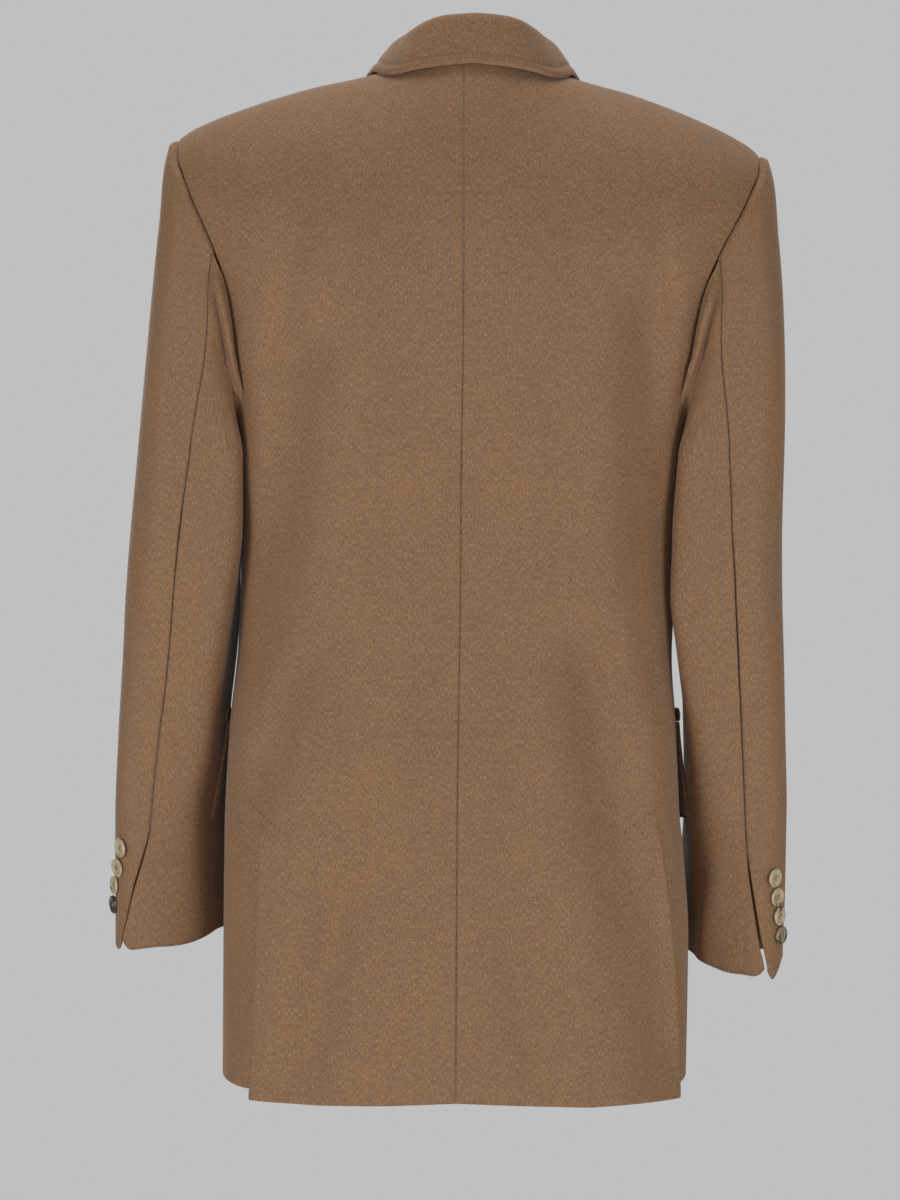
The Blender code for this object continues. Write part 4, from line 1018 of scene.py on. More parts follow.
def group(name, inputs, outputs):
    """The tree, input node and output node of a shader group with named sockets."""
    tree = bpy.data.node_groups.new(name, "ShaderNodeTree")
    for label, kind, value in inputs:
        socket = tree.interface.new_socket(label, in_out="INPUT", socket_type="NodeSocket" + kind)
        if value is not None:
            socket.default_value = value
    for label, kind in outputs:
        tree.interface.new_socket(label, in_out="OUTPUT", socket_type="NodeSocket" + kind)
    return tree, node(tree, "NodeGroupInput"), node(tree, "NodeGroupOutput")


def flannel_group():
    """Heathered, milled flannel: fibre colours, nap height and roughness on the cut."""
    tree, start, end = group("flannel", (
        ("Vector", "Vector", None),
        ("Wool", "Color", (0.272, 0.153, 0.083, 1.0)),
        ("Pale fibre", "Color", (0.415, 0.272, 0.168, 1.0)),
        ("Dark fibre", "Color", (0.138, 0.068, 0.031, 1.0)),
        ("Red fibre", "Color", (0.300, 0.150, 0.080, 1.0)),
    ), (("Colour", "Color"), ("Height", "Float"), ("Roughness", "Float")))
    vector = start.outputs["Vector"]
    streak = noise(tree, vector, 1050.0, 1.5, (1.0, 0.30, 1.0))
    fleck = noise(tree, vector, 1350.0, 1.0, (1.0, 0.60, 1.0))
    hue = noise(tree, vector, 600.0, 1.0, (1.0, 0.45, 1.0))
    patch = noise(tree, vector, 150.0, 3.0, (1.0, 0.45, 1.0))
    cloud = noise(tree, vector, 24.0, 2.0, (1.0, 0.5, 1.0))
    colour = mix_colour(tree, ramp(tree, hue, 0.40, 0.68, 0.0, 0.45), start.outputs["Wool"],
                        start.outputs["Red fibre"])
    colour = mix_colour(tree, ramp(tree, streak, 0.42, 0.72, 0.0, 0.78), colour, start.outputs["Pale fibre"])
    colour = mix_colour(tree, ramp(tree, fleck, 0.48, 0.74, 0.0, 0.68), colour, start.outputs["Dark fibre"])
    tone = math_node(tree, "MULTIPLY", ramp(tree, patch, 0.25, 0.75, 0.95, 1.05),
                     ramp(tree, cloud, 0.25, 0.75, 0.97, 1.03))
    grey = node(tree, "ShaderNodeCombineColor")
    for socket in grey.inputs[:3]:
        feed(tree, socket, tone)
    feed(tree, end.inputs["Colour"], mix_colour(tree, 1.0, colour, grey.outputs[0], "MULTIPLY"))
    streaks, flecks, patches = (math_node(tree, "MULTIPLY", wave, 0.5) for wave in (streak, fleck, patch))
    nap = math_node(tree, "ADD", streaks, flecks)
    feed(tree, end.inputs["Height"], math_node(tree, "ADD", nap, patches))
    feed(tree, end.inputs["Roughness"], ramp(tree, fleck, 0.3, 0.7, 0.82, 0.96))
    return tree


VEIN_BROWN = (0.24, 0.15, 0.07, 1.0)
PLY_SHADE = (0.02, 0.012, 0.008, 1.0)


def horn_group():
    """Streaked horn: a clouded pale ground with dark patches and fine veins."""
    tree, start, end = group("horn", (
        ("Vector", "Vector", None),
        ("Ground", "Color", (0.52, 0.42, 0.27, 1.0)),
        ("Dark", "Color", (0.05, 0.035, 0.025, 1.0)),
        ("Dark from", "Float", 0.6),
    ), (("Colour", "Color"), ("Height", "Float"), ("Roughness", "Float")))
    vector = start.outputs["Vector"]
    patch = noise(tree, vector, 120.0, 2.0, (1.0, 1.0, 0.8))
    vein = noise(tree, vector, 620.0, 3.0, (1.0, 1.0, 0.22))
    edge = math_node(tree, "ADD", start.outputs["Dark from"], 0.07)
    share = ramp(tree, patch, start.outputs["Dark from"], edge)
    veined = ramp(tree, vein, 0.4, 0.75, 0.0, 0.55)
    ground = mix_colour(tree, veined, start.outputs["Ground"], VEIN_BROWN)
    feed(tree, end.inputs["Colour"], mix_colour(tree, share, ground, start.outputs["Dark"]))
    feed(tree, end.inputs["Height"], vein)
    feed(tree, end.inputs["Roughness"], ramp(tree, vein, 0.3, 0.7, 0.22, 0.40))
    return tree


def thread_group():
    """Twisted thread: two shades along its plies."""
    tree, start, end = group("thread", (
        ("Vector", "Vector", None),
        ("Thread", "Color", (0.3, 0.2, 0.1, 1.0)),
    ), (("Colour", "Color"), ("Height", "Float"), ("Roughness", "Float")))
    twist = noise(tree, start.outputs["Vector"], 2600.0, 2.0)
    plies = ramp(tree, twist, 0.3, 0.7, 0.0, 0.5)
    shade = mix_colour(tree, plies, start.outputs["Thread"], PLY_SHADE)
    feed(tree, end.inputs["Colour"], shade)
    feed(tree, end.inputs["Height"], twist)
    feed(tree, end.inputs["Roughness"], ramp(tree, twist, 0.3, 0.7, 0.55, 0.75))
    return tree


def finish(name, tree_used, values, bump_strength, bump_distance, on_cut=False, **constants):
    """A Principled material fed by one of the groups, its constants set on the shader."""
    made = bpy.data.materials.new(name)
    made.use_nodes = True
    tree = made.node_tree
    shader = tree.nodes["Principled BSDF"]
    for key, value in constants.items():
        shader.inputs[key.replace("_", " ")].default_value = value
    effect = node(tree, "ShaderNodeGroup")
    effect.node_tree = tree_used
    if on_cut:
        feed(tree, effect.inputs["Vector"], node(tree, "ShaderNodeUVMap", uv_map="cut").outputs[0])
    else:
        feed(tree, effect.inputs["Vector"], node(tree, "ShaderNodeTexCoord").outputs["Object"])
    for key, value in values.items():
        effect.inputs[key].default_value = value
    feed(tree, shader.inputs["Base Color"], effect.outputs["Colour"])
    feed(tree, shader.inputs["Roughness"], effect.outputs["Roughness"])
    relief = node(tree, "ShaderNodeBump")
    relief.inputs["Strength"].default_value = bump_strength
    relief.inputs["Distance"].default_value = bump_distance
    feed(tree, relief.inputs["Height"], effect.outputs["Height"])
    feed(tree, shader.inputs["Normal"], relief.outputs[0])
    return made


HORN = horn_group()
THREAD = thread_group()
WOOL_CLOTH = finish("wool flannel", flannel_group(), {}, 0.5, 0.0003, on_cut=True,
                    Specular_IOR_Level=0.12, Sheen_Weight=0.22, Sheen_Roughness=0.35,
                    Sheen_Tint=(0.95, 0.90, 0.84, 1.0))
HORN_PALE = finish("pale horn", HORN, {"Ground": (0.56, 0.46, 0.29, 1.0), "Dark from": 0.60}, 0.2, 0.0001,
                   Coat_Weight=0.35, Coat_Roughness=0.12)
HORN_BROWN = finish("dark horn", HORN, {"Ground": (0.33, 0.26, 0.17, 1.0), "Dark from": 0.47}, 0.2, 0.0001,
                    Coat_Weight=0.35, Coat_Roughness=0.12)
PICK_THREAD = finish("pick thread", THREAD, {"Thread": (0.150, 0.080, 0.044, 1.0)}, 0.4, 0.0001,
                     Specular_IOR_Level=0.2, Sheen_Weight=0.1)
BUTTON_THREAD = finish("button thread", THREAD, {"Thread": (0.50, 0.38, 0.24, 1.0)}, 0.4, 0.0001,
                       Specular_IOR_Level=0.3, Sheen_Weight=0.1)


# ---- stitches -----------------------------------------------------------------------

def stitch_tree():
    """Geometry Nodes: rounded stitches, evenly along each line, along or across it."""
    tree = bpy.data.node_groups.new("stitches", "GeometryNodeTree")
    tree.interface.new_socket("Geometry", in_out="INPUT", socket_type="NodeSocketGeometry")
    for label, kind in (("Pitch", "Float"), ("Length", "Float"), ("Radius", "Float"), ("Across", "Bool"),
                        ("Thread", "Material")):
        tree.interface.new_socket(label, in_out="INPUT", socket_type="NodeSocket" + kind)
    tree.interface.new_socket("Geometry", in_out="OUTPUT", socket_type="NodeSocketGeometry")
    start, end = node(tree, "NodeGroupInput"), node(tree, "NodeGroupOutput")
    curve = node(tree, "GeometryNodeMeshToCurve")
    feed(tree, curve.inputs["Mesh"], start.outputs["Geometry"])
    spots = node(tree, "GeometryNodeCurveToPoints", mode="LENGTH")
    feed(tree, spots.inputs["Curve"], curve.outputs["Curve"])
    feed(tree, spots.inputs["Length"], start.outputs["Pitch"])
    up = node(tree, "GeometryNodeInputNamedAttribute", data_type="FLOAT_VECTOR")
    up.inputs["Name"].default_value = "up"
    cross = node(tree, "ShaderNodeVectorMath", operation="CROSS_PRODUCT")
    feed(tree, cross.inputs[0], spots.outputs["Tangent"])
    feed(tree, cross.inputs[1], up.outputs["Attribute"])
    way = node(tree, "GeometryNodeSwitch", input_type="VECTOR")
    feed(tree, way.inputs["Switch"], start.outputs["Across"])
    feed(tree, way.inputs["False"], spots.outputs["Tangent"])
    feed(tree, way.inputs["True"], cross.outputs["Vector"])
    aim = node(tree, "FunctionNodeAlignRotationToVector", axis="Z")
    feed(tree, aim.inputs["Vector"], way.outputs["Output"])
    bead = node(tree, "GeometryNodeMeshUVSphere")
    bead.inputs["Segments"].default_value = 8
    bead.inputs["Rings"].default_value = 6
    bead.inputs["Radius"].default_value = 1.0
    half = node(tree, "ShaderNodeMath", operation="MULTIPLY")
    feed(tree, half.inputs[0], start.outputs["Length"])
    half.inputs[1].default_value = 0.5
    size = node(tree, "ShaderNodeCombineXYZ")
    feed(tree, size.inputs["X"], start.outputs["Radius"])
    feed(tree, size.inputs["Y"], start.outputs["Radius"])
    feed(tree, size.inputs["Z"], half.outputs[0])
    place = node(tree, "GeometryNodeInstanceOnPoints")
    feed(tree, place.inputs["Points"], spots.outputs["Points"])
    feed(tree, place.inputs["Instance"], bead.outputs["Mesh"])
    feed(tree, place.inputs["Rotation"], aim.outputs["Rotation"])
    feed(tree, place.inputs["Scale"], size.outputs["Vector"])
    real = node(tree, "GeometryNodeRealizeInstances")
    feed(tree, real.inputs["Geometry"], place.outputs["Instances"])
    smooth = node(tree, "GeometryNodeSetShadeSmooth")
    feed(tree, smooth.inputs["Geometry"], real.outputs["Geometry"])
    painted = node(tree, "GeometryNodeSetMaterial")
    feed(tree, painted.inputs["Geometry"], smooth.outputs["Geometry"])
    feed(tree, painted.inputs["Material"], start.outputs["Thread"])
    feed(tree, end.inputs["Geometry"], painted.outputs["Geometry"])
    return tree


STITCHES = stitch_tree()


# Pitch, length and radius of each kind of stitch.
PICK_STITCH = (PITCH, 0.0015, 0.00024)
TACK_STITCH = (0.0047, 0.0017, 0.00042)
BUTTONHOLE_STITCH = (0.00065, 0.0020, 0.00030)
PICK_SINK = 0.00005       # of the pick stitches into the cloth


def plain_mesh(holder):
    """The mesh of an object once its modifiers are worked out."""
    bpy.context.view_layer.update()
    return bpy.data.meshes.new_from_object(holder.evaluated_get(bpy.context.evaluated_depsgraph_get()))


def stitch(name, lines, size, across=False, loop=False, thread=PICK_THREAD):
    """Stitches along lines of points, each with its outward directions, as one mesh."""
    mesh = bpy.data.meshes.new(name)
    edges, first = [], 0
    for line, _ in lines:
        edges += [(first + k, first + k + 1) for k in range(len(line) - 1)]
        if loop:
            edges.append((first + len(line) - 1, first))
        first += len(line)
    mesh.from_pydata(np.concatenate([line for line, _ in lines]).tolist(), edges, [])
    ups = mesh.attributes.new("up", "FLOAT_VECTOR", "POINT")
    ups.data.foreach_set("vector", np.concatenate([up for _, up in lines]).astype(np.float32).ravel())
    holder = bpy.data.objects.new(name, mesh)
    bpy.context.scene.collection.objects.link(holder)
    sewing = holder.modifiers.new("sewing", "NODES")
    sewing.node_group = STITCHES
    values = dict(zip(("Pitch", "Length", "Radius"), size), Across=across, Thread=thread)
    for item in STITCHES.interface.items_tree:
        if item.name in values:
            sewing[item.identifier] = values[item.name]
    made = plain_mesh(holder)
    bpy.data.objects.remove(holder)
    return keep_piece(name, made, thread)


def pick_stitches(name, lines):
    """Small stitches in the channel beside an edge."""
    lowered = [(line - ups * PICK_SINK, ups) for line, ups in lines]
    return stitch(name, lowered, PICK_STITCH)


# ---- back, front and side panels ----------------------------------------------------

def fine_heights(hem):
    """Row heights from a hem to the shoulder blades."""
    return hem + (BLADE - hem) * spread(BLADE - hem, BODY_STEP, last=(0.0, 0.005))


def fine_turns():
    """The rounding in above the blades, in degrees, closer at the seam on the ridge."""
    return 90.0 * spread(*ROWS["shoulder"], first=(0.0, 0.005))[1:]


def rounded_rows(start_at, edge_at, across, focus, climb_at):
    """Even-pattern x and z of the rows above the blades."""
    rows = []
    for turn in fine_turns():
        z = BLADE + (SHOULDER - BLADE) * math.sin(math.radians(turn))
        edge = edge_at(z)
        level = float(climb(edge, z)) if turn < 89.999 else 1.0
        start = start_at(level)
        places = across + (focus - across) * min(level / 0.87, 1.0) ** 2
        x = start + places * (edge - start)
        ridge = read(RIDGE, "height", np.abs(x))
        rows.append((x, BLADE + (ridge - BLADE) * level * climb_at(x)))
    return rows


# How far a back panel's hem hangs below its middle, at places outwards from the seam.
SAG_PLACES = (0.0, 0.055, 0.105, 0.170)
HEM_SAG = {"left": (0.0, -0.0022, -0.0024, -0.0004), "right": (0.0, -0.0022, -0.0040, -0.0012)}


def make_back(sign):
    """Half a back, from its centre seam to the side seam, vent and armhole."""
    across = spread(*COLUMNS["back"])

    def start_at(level):
        return sign * read(SETTLE, "back_seam", BLADE + (0.02 - BLADE) * level) + CLOSE

    def edge_at(z):
        return edge_half(sign, z, 1) - CLOSE

    start, edge = start_at(1.0), edge_at(SHOULDER)
    neck = NECK_HALF * np.sin(np.radians(np.linspace(8.0, 90.0, 24)))
    first = start + np.array(NEAR)
    columns = np.concatenate((first, neck[neck > first[-1] + 0.001]))
    missing = len(across) - len(columns) - len(NEAR)
    outside = np.linspace(NECK_HALF, edge - NEAR[-1], missing + 2)[1:-1]
    columns = np.concatenate((columns, outside, edge - np.array(NEAR[::-1])))
    focus = (columns - start) / (edge - start)
    rows = []
    for z in fine_heights(HEM_BACK):
        begin = sign * read(SETTLE, "back_seam", z) + CLOSE
        x = begin + across * (edge_at(z) - begin)
        near_hem = ease(HEM_BACK + 0.12, HEM_BACK, z)
        sag = np.interp(x, SAG_PLACES, HEM_SAG[side_name(sign)]) * near_hem
        rows.append((x, z + sag))
    low_rows = len(rows)
    rows += rounded_rows(start_at, edge_at, across, focus, neck_climb)
    points = []
    for x, z in rows:
        x = sign * x
        px, py, pz = lifted(x, z, 1, vent_lift(sign, x, z))
        points.append(settle(px, py + np.where(z > BLADE, CLOSE * climb(x, z), 0.0), pz))
    points = np.array(points)
    armhole = pressed(points, BACK_OUT, end=set_in) - points
    below = ease(low_rows + 2, low_rows - 14, np.arange(len(points)))[:, None, None]
    side = pressed(points, BACK_OUT, end=faint_seam) - points
    vent = pressed(points, BACK_OUT, end=vent_edge) - points
    opened = ease(VENT_TOP, VENT_TOP - 0.012, points[:, -1, 2])[:, None, None]
    points = pressed(points, BACK_OUT, start=back_seam, foot=turned, top=seam)
    points = points + armhole * (1 - below) + side * below * (1 - opened) + vent * opened
    return wall("blazer_back_" + side_name(sign), points, BACK_OUT)


def make_front(sign):
    """A front, from its edge and roll line to the side seam and armhole."""
    across = spread(*COLUMNS["front"])

    def edge_at(z):
        return edge_half(sign, z, -1) - CLOSE

    rows = []
    for z in fine_heights(HEM_FRONT):
        start = roll_x(z)
        x = start + across * (front_seam_half(z) - CLOSE - start)
        middle = np.clip(1 - np.abs(x) / 0.15, 0.0, 1.0)
        hem = HEM_SIDE + (HEM_FRONT - HEM_SIDE) * middle ** 0.7
        hem = hem + (LEFT_RISE if sign > 0 else 0.0)
        share = np.clip((BLADE - z) / (BLADE - HEM_FRONT), 0.0, 1.0)
        rows.append((x, z + (hem - HEM_FRONT) * share ** 3))
    rows += rounded_rows(roll_crossing, edge_at, across, across, lambda x: 1.0)
    points = []
    for x, z in rows:
        row = front_point(sign, x, z, 0.0)
        row[:, 1] -= np.where(z > BLADE, CLOSE * climb(x, z), 0.0)
        points.append(row)
    points = pressed(np.array(points), FRONT_OUT, start=stitched, end=seam, foot=turned, top=seam)
    middle = [np.interp(0.09, x, u) for (x, _), u in zip(rows, arcs(points)[0])]
    return points, wall("blazer_front_" + side_name(sign), points, FRONT_OUT, cut_from=middle)


LAP_RISE = 0.010          # of the underlap above the vent's top
LAP_SINK = 0.0011         # of a side panel's edge behind the vent
LAP_START = 0.06          # share of the underlap that its seam's edge takes
SIDE_DIP = 0.0045         # how far a side panel's hem hangs lower towards the back


def make_side(sign):
    """A side panel, with its underlap behind the vent."""
    lap = -1.0 + (1.0 - LAP_START) * spread(UNDERLAP, LAP_STEP, last=(0.0, 0.003))
    across = spread(*COLUMNS["side"])
    notch_back, notch_front = side_turns(sign, NOTCH)
    straight = SIDE_BEND - HEM_SIDE
    low = HEM_SIDE + straight * spread(straight, SIDE_STEP, last=(0.0, 0.006))
    high = spread(*ROWS["underarm"], first=(0.0, 0.0055))[1:]
    steps = [(z, 0.0) for z in low] + [(SIDE_BEND + (NOTCH - SIDE_BEND) * t, t) for t in high]
    half_gap = np.degrees(CLOSE / 0.07)
    points = []
    for z, share in steps:
        back_turn, front_turn = side_turns(sign, z)
        turn = back_turn + half_gap + across * (front_turn - back_turn - 2 * half_gap)
        height = np.full_like(turn, z)
        if share > 0:
            place = (turn - back_turn) / (front_turn - back_turn)
            matching = notch_back + place * (notch_front - notch_back)
            top = underarm_height(matching, notch_back, notch_front) - CLOSE
            height = SIDE_BEND + (top - SIDE_BEND) * share
        height = height - SIDE_DIP * ease(0.5, 0.0, across) * ease(HEM_SIDE + 0.1, HEM_SIDE, z)
        extra = back_turn + half_gap + lap * np.degrees(UNDERLAP / SIDE_RADIUS)
        turn = np.concatenate((extra, turn))
        height = np.concatenate((np.full_like(extra, height[0]), height))
        below = ease(VENT_TOP + LAP_RISE, VENT_TOP - VENT_START, z)
        near = LAP_SINK * ease(back_turn + 9.0, back_turn + 0.5, turn)
        tucked = VENT_LIFT * ease(back_turn - 2.0, back_turn - 22.0, turn)
        px, py, pz = ring_point(sign, turn, height, -(near + tucked) * below)
        points.append(settle(px, py, pz))
    points = np.array(points)
    u, v = arcs(points)
    cut = np.array([z for z, _ in steps])
    rise = seam(u[:, -1:] - u, v) + turned(v, u) + set_in(v[-1:] - v, u)
    above = ease(VENT_TOP - 0.004, VENT_TOP + 0.004, cut)[:, None]
    rise = rise + faint_seam(np.abs(u - u[:, len(lap):len(lap) + 1]), v) * above
    points = points + grid_normals(points, (sign, 0, 0)) * rise[..., None]
    lap_rows = int(np.searchsorted(cut, VENT_TOP + LAP_RISE))
    return wall("blazer_side_" + side_name(sign), points, (sign, 0, 0),
                lambda row, column: (row >= lap_rows) & (column < len(lap)))


# ---- sleeves ------------------------------------------------------------------------

SLEEVE_START = NEAR + (0.0053, 0.0067, 0.0083, 0.0102, 0.0125, 0.0155)


def make_sleeve_piece(side, kind):
    """The upper sleeve, which carries the buttons, or the under one."""
    upper = kind == "upper"
    cap = spread(*ROWS["cap"], first=SLEEVE_START, last=(0.0, 0.006))
    arm = 1.0 + spread(*ROWS["arm"], first=(0.0, 0.006))[1:]
    first, last = BACK_SEAM_STEP, FRONT_SEAM_STEP
    if upper:
        last = FRONT_SEAM_STEP - ARMHOLE_STEPS
    across = spread(*COLUMNS[kind])
    half_gap = math.degrees(CLOSE / SLEEVE_RADIUS)
    way = 1.0 if upper else -1.0
    ease_power = 1.0 if upper else UNDER_EASE
    points, creases = [], []
    for along in np.concatenate((cap, arm)):
        swing = seam_swing(along)
        start = seam_turn(side, along) + SEAM_SWING[1] * swing
        start = start + way * np.maximum(vent_gap(side, along), half_gap)
        end = (FRONT_SEAM if upper else FRONT_SEAM - 360.0) - way * half_gap
        begin = first + SEAM_SWING[0] * swing
        step = begin + (last - begin) * (0.0001 + 0.9998 * across ** ease_power)
        turn = start + across * (end - start)
        row = sleeve_point(side, step, turn, float(along))
        distance = across * math.radians(abs(turn[-1] - turn[0])) * CUFF_RADIUS
        rise = corner_rise(distance, CUFF_CORNER[kind])
        row[:, 2] += rise * ease(1.90, 2.0, along) ** 2
        if upper:
            strip = STRIP_RISE[side] * ease(0.002, 0.034, distance) * ease(1.0, 0.35, across)
            row[:, 2] += strip * max(along - 1.6, 0.0) / 0.4
        points.append(row)
        creases.append(sleeve_crease(side, float(along), turn))
    points = np.array(points)
    out = FRONT_OUT if upper else BACK_OUT
    crown = np.interp(first / (first - last), across, arcs(points)[0][0]) if upper else None
    points = pressed(points, out, start=seam, end=seam, top=turned, push=-np.array(creases),
                     foot=lambda distance, run: sleeve_edge(distance, run, crown))
    return wall("blazer_" + kind + "_sleeve_" + side, points, out)


TUCK = (-0.0120, 0.0055, 0.0048)   # height, place and width of the fold under the arm
TUCK_ENDS = 0.030         # how far from the seams it is full
CROWN_RISE = 0.0030       # of the sleeve head's fullness
CROWN_REACH = 0.085       # along the armhole from the crown


def sleeve_edge(distance, run, crown):
    """The sleeve's edge at the armhole: fuller round the crown, deeply tucked in under the arm."""
    if crown is None:
        tucked = ease(0.0, TUCK_ENDS, run) * ease(0.0, TUCK_ENDS, run[:, -1:] - run)
        deep, place, width = TUCK
        return deep * tucked * bump(distance - place, width) + sleeve_head(distance, run) * (1 - tucked)
    full = CROWN_RISE * ease(0.0, 0.007, distance) * ease(0.070, 0.012, distance)
    return sleeve_head(distance, run) + full * bump(run - crown, CROWN_REACH)


def sleeve_crease(side, along, turn):
    """Depth of the soft creases of a sleeve at one place along it."""
    depth = np.zeros_like(turn)
    for middle, heading, lean, high, wide, deep in zip(*SLEEVE_CREASES[side].values()):
        centre = heading + lean * (along - middle)
        away = (turn - centre + 180.0) % 360.0 - 180.0
        depth = depth + deep * bump(along - middle, high) * bump(away, wide)
    return depth


# ---- lapels and collar --------------------------------------------------------------

def make_lapel(sign):
    """A lapel, from inside the rolled edge to its point."""
    along, _ = roll_frame()
    low, high = BREAK + 0.006, roll_height(GORGE_TURN)
    share = spread(*ROWS["lapel"])[:, None]
    width, rise = read(LAPEL, "width", share), read(LAPEL, "rise", share)
    b = spread(*COLUMNS["lapel"], first=(0.003, 0.006))
    notch = np.interp(b, (0.0, 0.6, 1.0), (0.0, 1.0, 0.0)) * (GORGE_FALL - 0.6 * rise)
    up = rise * b + notch * ease(0.72, 1.0, share) ** 2
    roll_widths, roll_lifts = roll_offsets()
    rolled = np.zeros((len(share), len(roll_widths)))
    widths = np.concatenate((rolled + roll_widths, width * b), axis=1)
    lifts = np.concatenate((rolled + roll_lifts, LAPEL_LIFT + 0.0006 * b * (1 - b) + 0 * up), axis=1)
    climbs = np.concatenate((rolled, up), axis=1)
    place = roll_place(low + (high - low) * share) + along[:, None, None] * climbs
    points = on_lapel(sign, place, widths, lifts)
    points = pressed(points, FRONT_OUT, end=stitched, top=stitched)
    return points, wall("blazer_lapel_" + side_name(sign), points, FRONT_OUT, thickness=LAPEL_CLOTH)


COLLAR_STEPS = (2, 3, 4, 5, 3, 5, 6, 12)
COLLAR_TURNS = np.concatenate((np.arange(0.0, 123.0, 3.0), (123.0,)))
COLLAR_STITCH = 0.0092    # of the collar's pick stitches from its edge


def section(points):
    """One fine section of the collar."""
    return through(np.array(points), COLLAR_STEPS)


def collar_half(sign):
    """Fine sections from the middle of the back round to the gorge."""
    made = []
    for turn in COLLAR_TURNS:
        fold, edge = (settle(sign * read(COLLAR, k + "_x", turn), read(COLLAR, k + "_y", turn),
                             read(COLLAR, k + "_z", turn)) for k in ("fold", "edge"))
        made.append(section(fold_section(collar_foot(sign, turn), fold, edge)))
    return made + [section(collar_end(sign))]


def collar_edge(distance, run):
    """The fall's edge: a full roll outside a deep channel of pick stitches."""
    swell = (0.0010, 0.45 * COLLAR_STITCH, 0.0032)
    return picked(distance, run, COLLAR_STITCH, 0.0006, 0.0006, 0.0014, swell)


def make_collar():
    """The collar, stand and fall in one, from gorge to gorge."""
    halves = {}
    for sign in (1, -1):
        half = np.array(collar_half(sign))
        halves[sign] = through(half, [3] * (len(half) - 2) + [18])
    rows = np.concatenate((halves[-1][::-1], halves[1][1:]))
    points = pressed(rows, BACK_OUT, end=collar_edge, foot=turned, top=turned)
    return points, wall("blazer_collar", points, BACK_OUT, bias=90.0, even_row=len(points) // 2)


# ---- pockets ------------------------------------------------------------------------

def pocket_out(sign):
    """Outward direction at the middle of a pocket."""
    middle = math.radians(sum(FLAP_TURNS) / 2)
    return (sign * math.sin(middle), math.cos(middle), 0.0)


def pocket_sheet(sign, name, turns, heights, lift, thickness, **edges):
    """A small piece that lies on the front and side panel."""
    turn, z = np.meshgrid(turns, heights)
    px, py, pz = ring_point(sign, turn, z, lift(turn, z))
    points = pressed(settle(px, py, pz), pocket_out(sign), **edges)
    return points, wall(name, points, pocket_out(sign), thickness=thickness)


def make_flap(sign):
    """A pocket flap, which stands off a little at its foot."""
    start, end = FLAP_TURNS
    turns = start + (end - start) * spread(*COLUMNS["flap"])
    heights = FLAP_FOOT + (FLAP_TOP - FLAP_FOOT) * spread(*ROWS["flap"])
    flare = FLAP_FLARE[side_name(sign)]

    def lift(turn, z):
        down = (FLAP_TOP - z) / (FLAP_TOP - FLAP_FOOT)
        droop = FLAP_DROOP + flare * ease(start + 48.0, start, turn)
        return FLAP_LIFT + droop * down ** 1.5

    return pocket_sheet(sign, "blazer_flap_" + side_name(sign), turns, heights, lift, FLAP_CLOTH,
                        start=stitched, end=stitched, foot=stitched, top=seam)


def make_jet(sign):
    """The welt along the top of a pocket."""
    start, end = FLAP_TURNS
    turns = start - 1.0 + (end - start + 2.0) * spread(*COLUMNS["jet"])
    heights = FLAP_TOP + GAP + (JET_TOP - FLAP_TOP - GAP) * spread(*ROWS["jet"])

    def lift(turn, z):
        raised = ease(start + 10.0, start, turn)
        middle = 1 - np.abs(z - 0.5 * (FLAP_TOP + JET_TOP)) / (0.5 * (JET_TOP - FLAP_TOP))
        return JET_LIFT + 0.0006 * middle + 0.0018 * raised

    return pocket_sheet(sign, "blazer_jet_" + side_name(sign), turns, heights, lift, CLOTH,
                        start=turned, end=turned, foot=turned, top=seam)


# ---- buttons ------------------------------------------------------------------------

# Half profile of a button, in shares of its radius and thickness, from its underside.
BUTTON_PROFILE = ((0.0, -0.44), (0.62, -0.47), (0.82, -0.42), (0.95, -0.24), (1.0, 0.05), (0.97, 0.30),
                  (0.90, 0.45), (0.82, 0.49), (0.74, 0.43), (0.66, 0.30), (0.58, 0.23), (0.50, 0.21),
                  (0.0, 0.16))
HOLE_OFFSET = 0.20        # of the holes from the middle, in shares of the radius
HOLE_RADIUS = 0.105       # in the same shares


def as_lists(mesh):
    """A mesh's points and the corners of its faces."""
    return [tuple(vertex.co) for vertex in mesh.vertices], [tuple(face.vertices) for face in mesh.polygons]


def button_blank(radius, thickness):
    """A turned button with four drilled holes, facing +Z."""
    build = bmesh.new()
    rim = [build.verts.new((r * radius, 0.0, z * thickness)) for r, z in BUTTON_PROFILE]
    line = [build.edges.new(pair) for pair in zip(rim[:-1], rim[1:])]
    bmesh.ops.spin(build, geom=rim + line, cent=(0, 0, 0), axis=(0, 0, 1), angle=2 * math.pi, steps=48,
                   use_merge=True)
    bmesh.ops.remove_doubles(build, verts=build.verts, dist=1e-6)
    bmesh.ops.recalc_face_normals(build, faces=build.faces)
    blank = bpy.data.meshes.new("blank")
    build.to_mesh(blank)
    build.free()
    drill = bmesh.new()
    for dx, dy in ((1, 1), (-1, 1), (-1, -1), (1, -1)):
        made = bmesh.ops.create_cone(drill, cap_ends=True, segments=16, radius1=HOLE_RADIUS * radius,
                                     radius2=HOLE_RADIUS * radius, depth=3 * thickness)
        bmesh.ops.translate(drill, verts=made["verts"],
                            vec=(dx * HOLE_OFFSET * radius, dy * HOLE_OFFSET * radius, 0))
    holes = bpy.data.meshes.new("holes")
    drill.to_mesh(holes)
    drill.free()
    turned_piece, cutter = bpy.data.objects.new("blank", blank), bpy.data.objects.new("holes", holes)
    for made in (turned_piece, cutter):
        bpy.context.scene.collection.objects.link(made)
    cut = turned_piece.modifiers.new("holes", "BOOLEAN")
    cut.operation, cut.solver, cut.object = "DIFFERENCE", "EXACT", cutter
    result = plain_mesh(turned_piece)
    for made in (turned_piece, cutter):
        bpy.data.objects.remove(made)
    return result


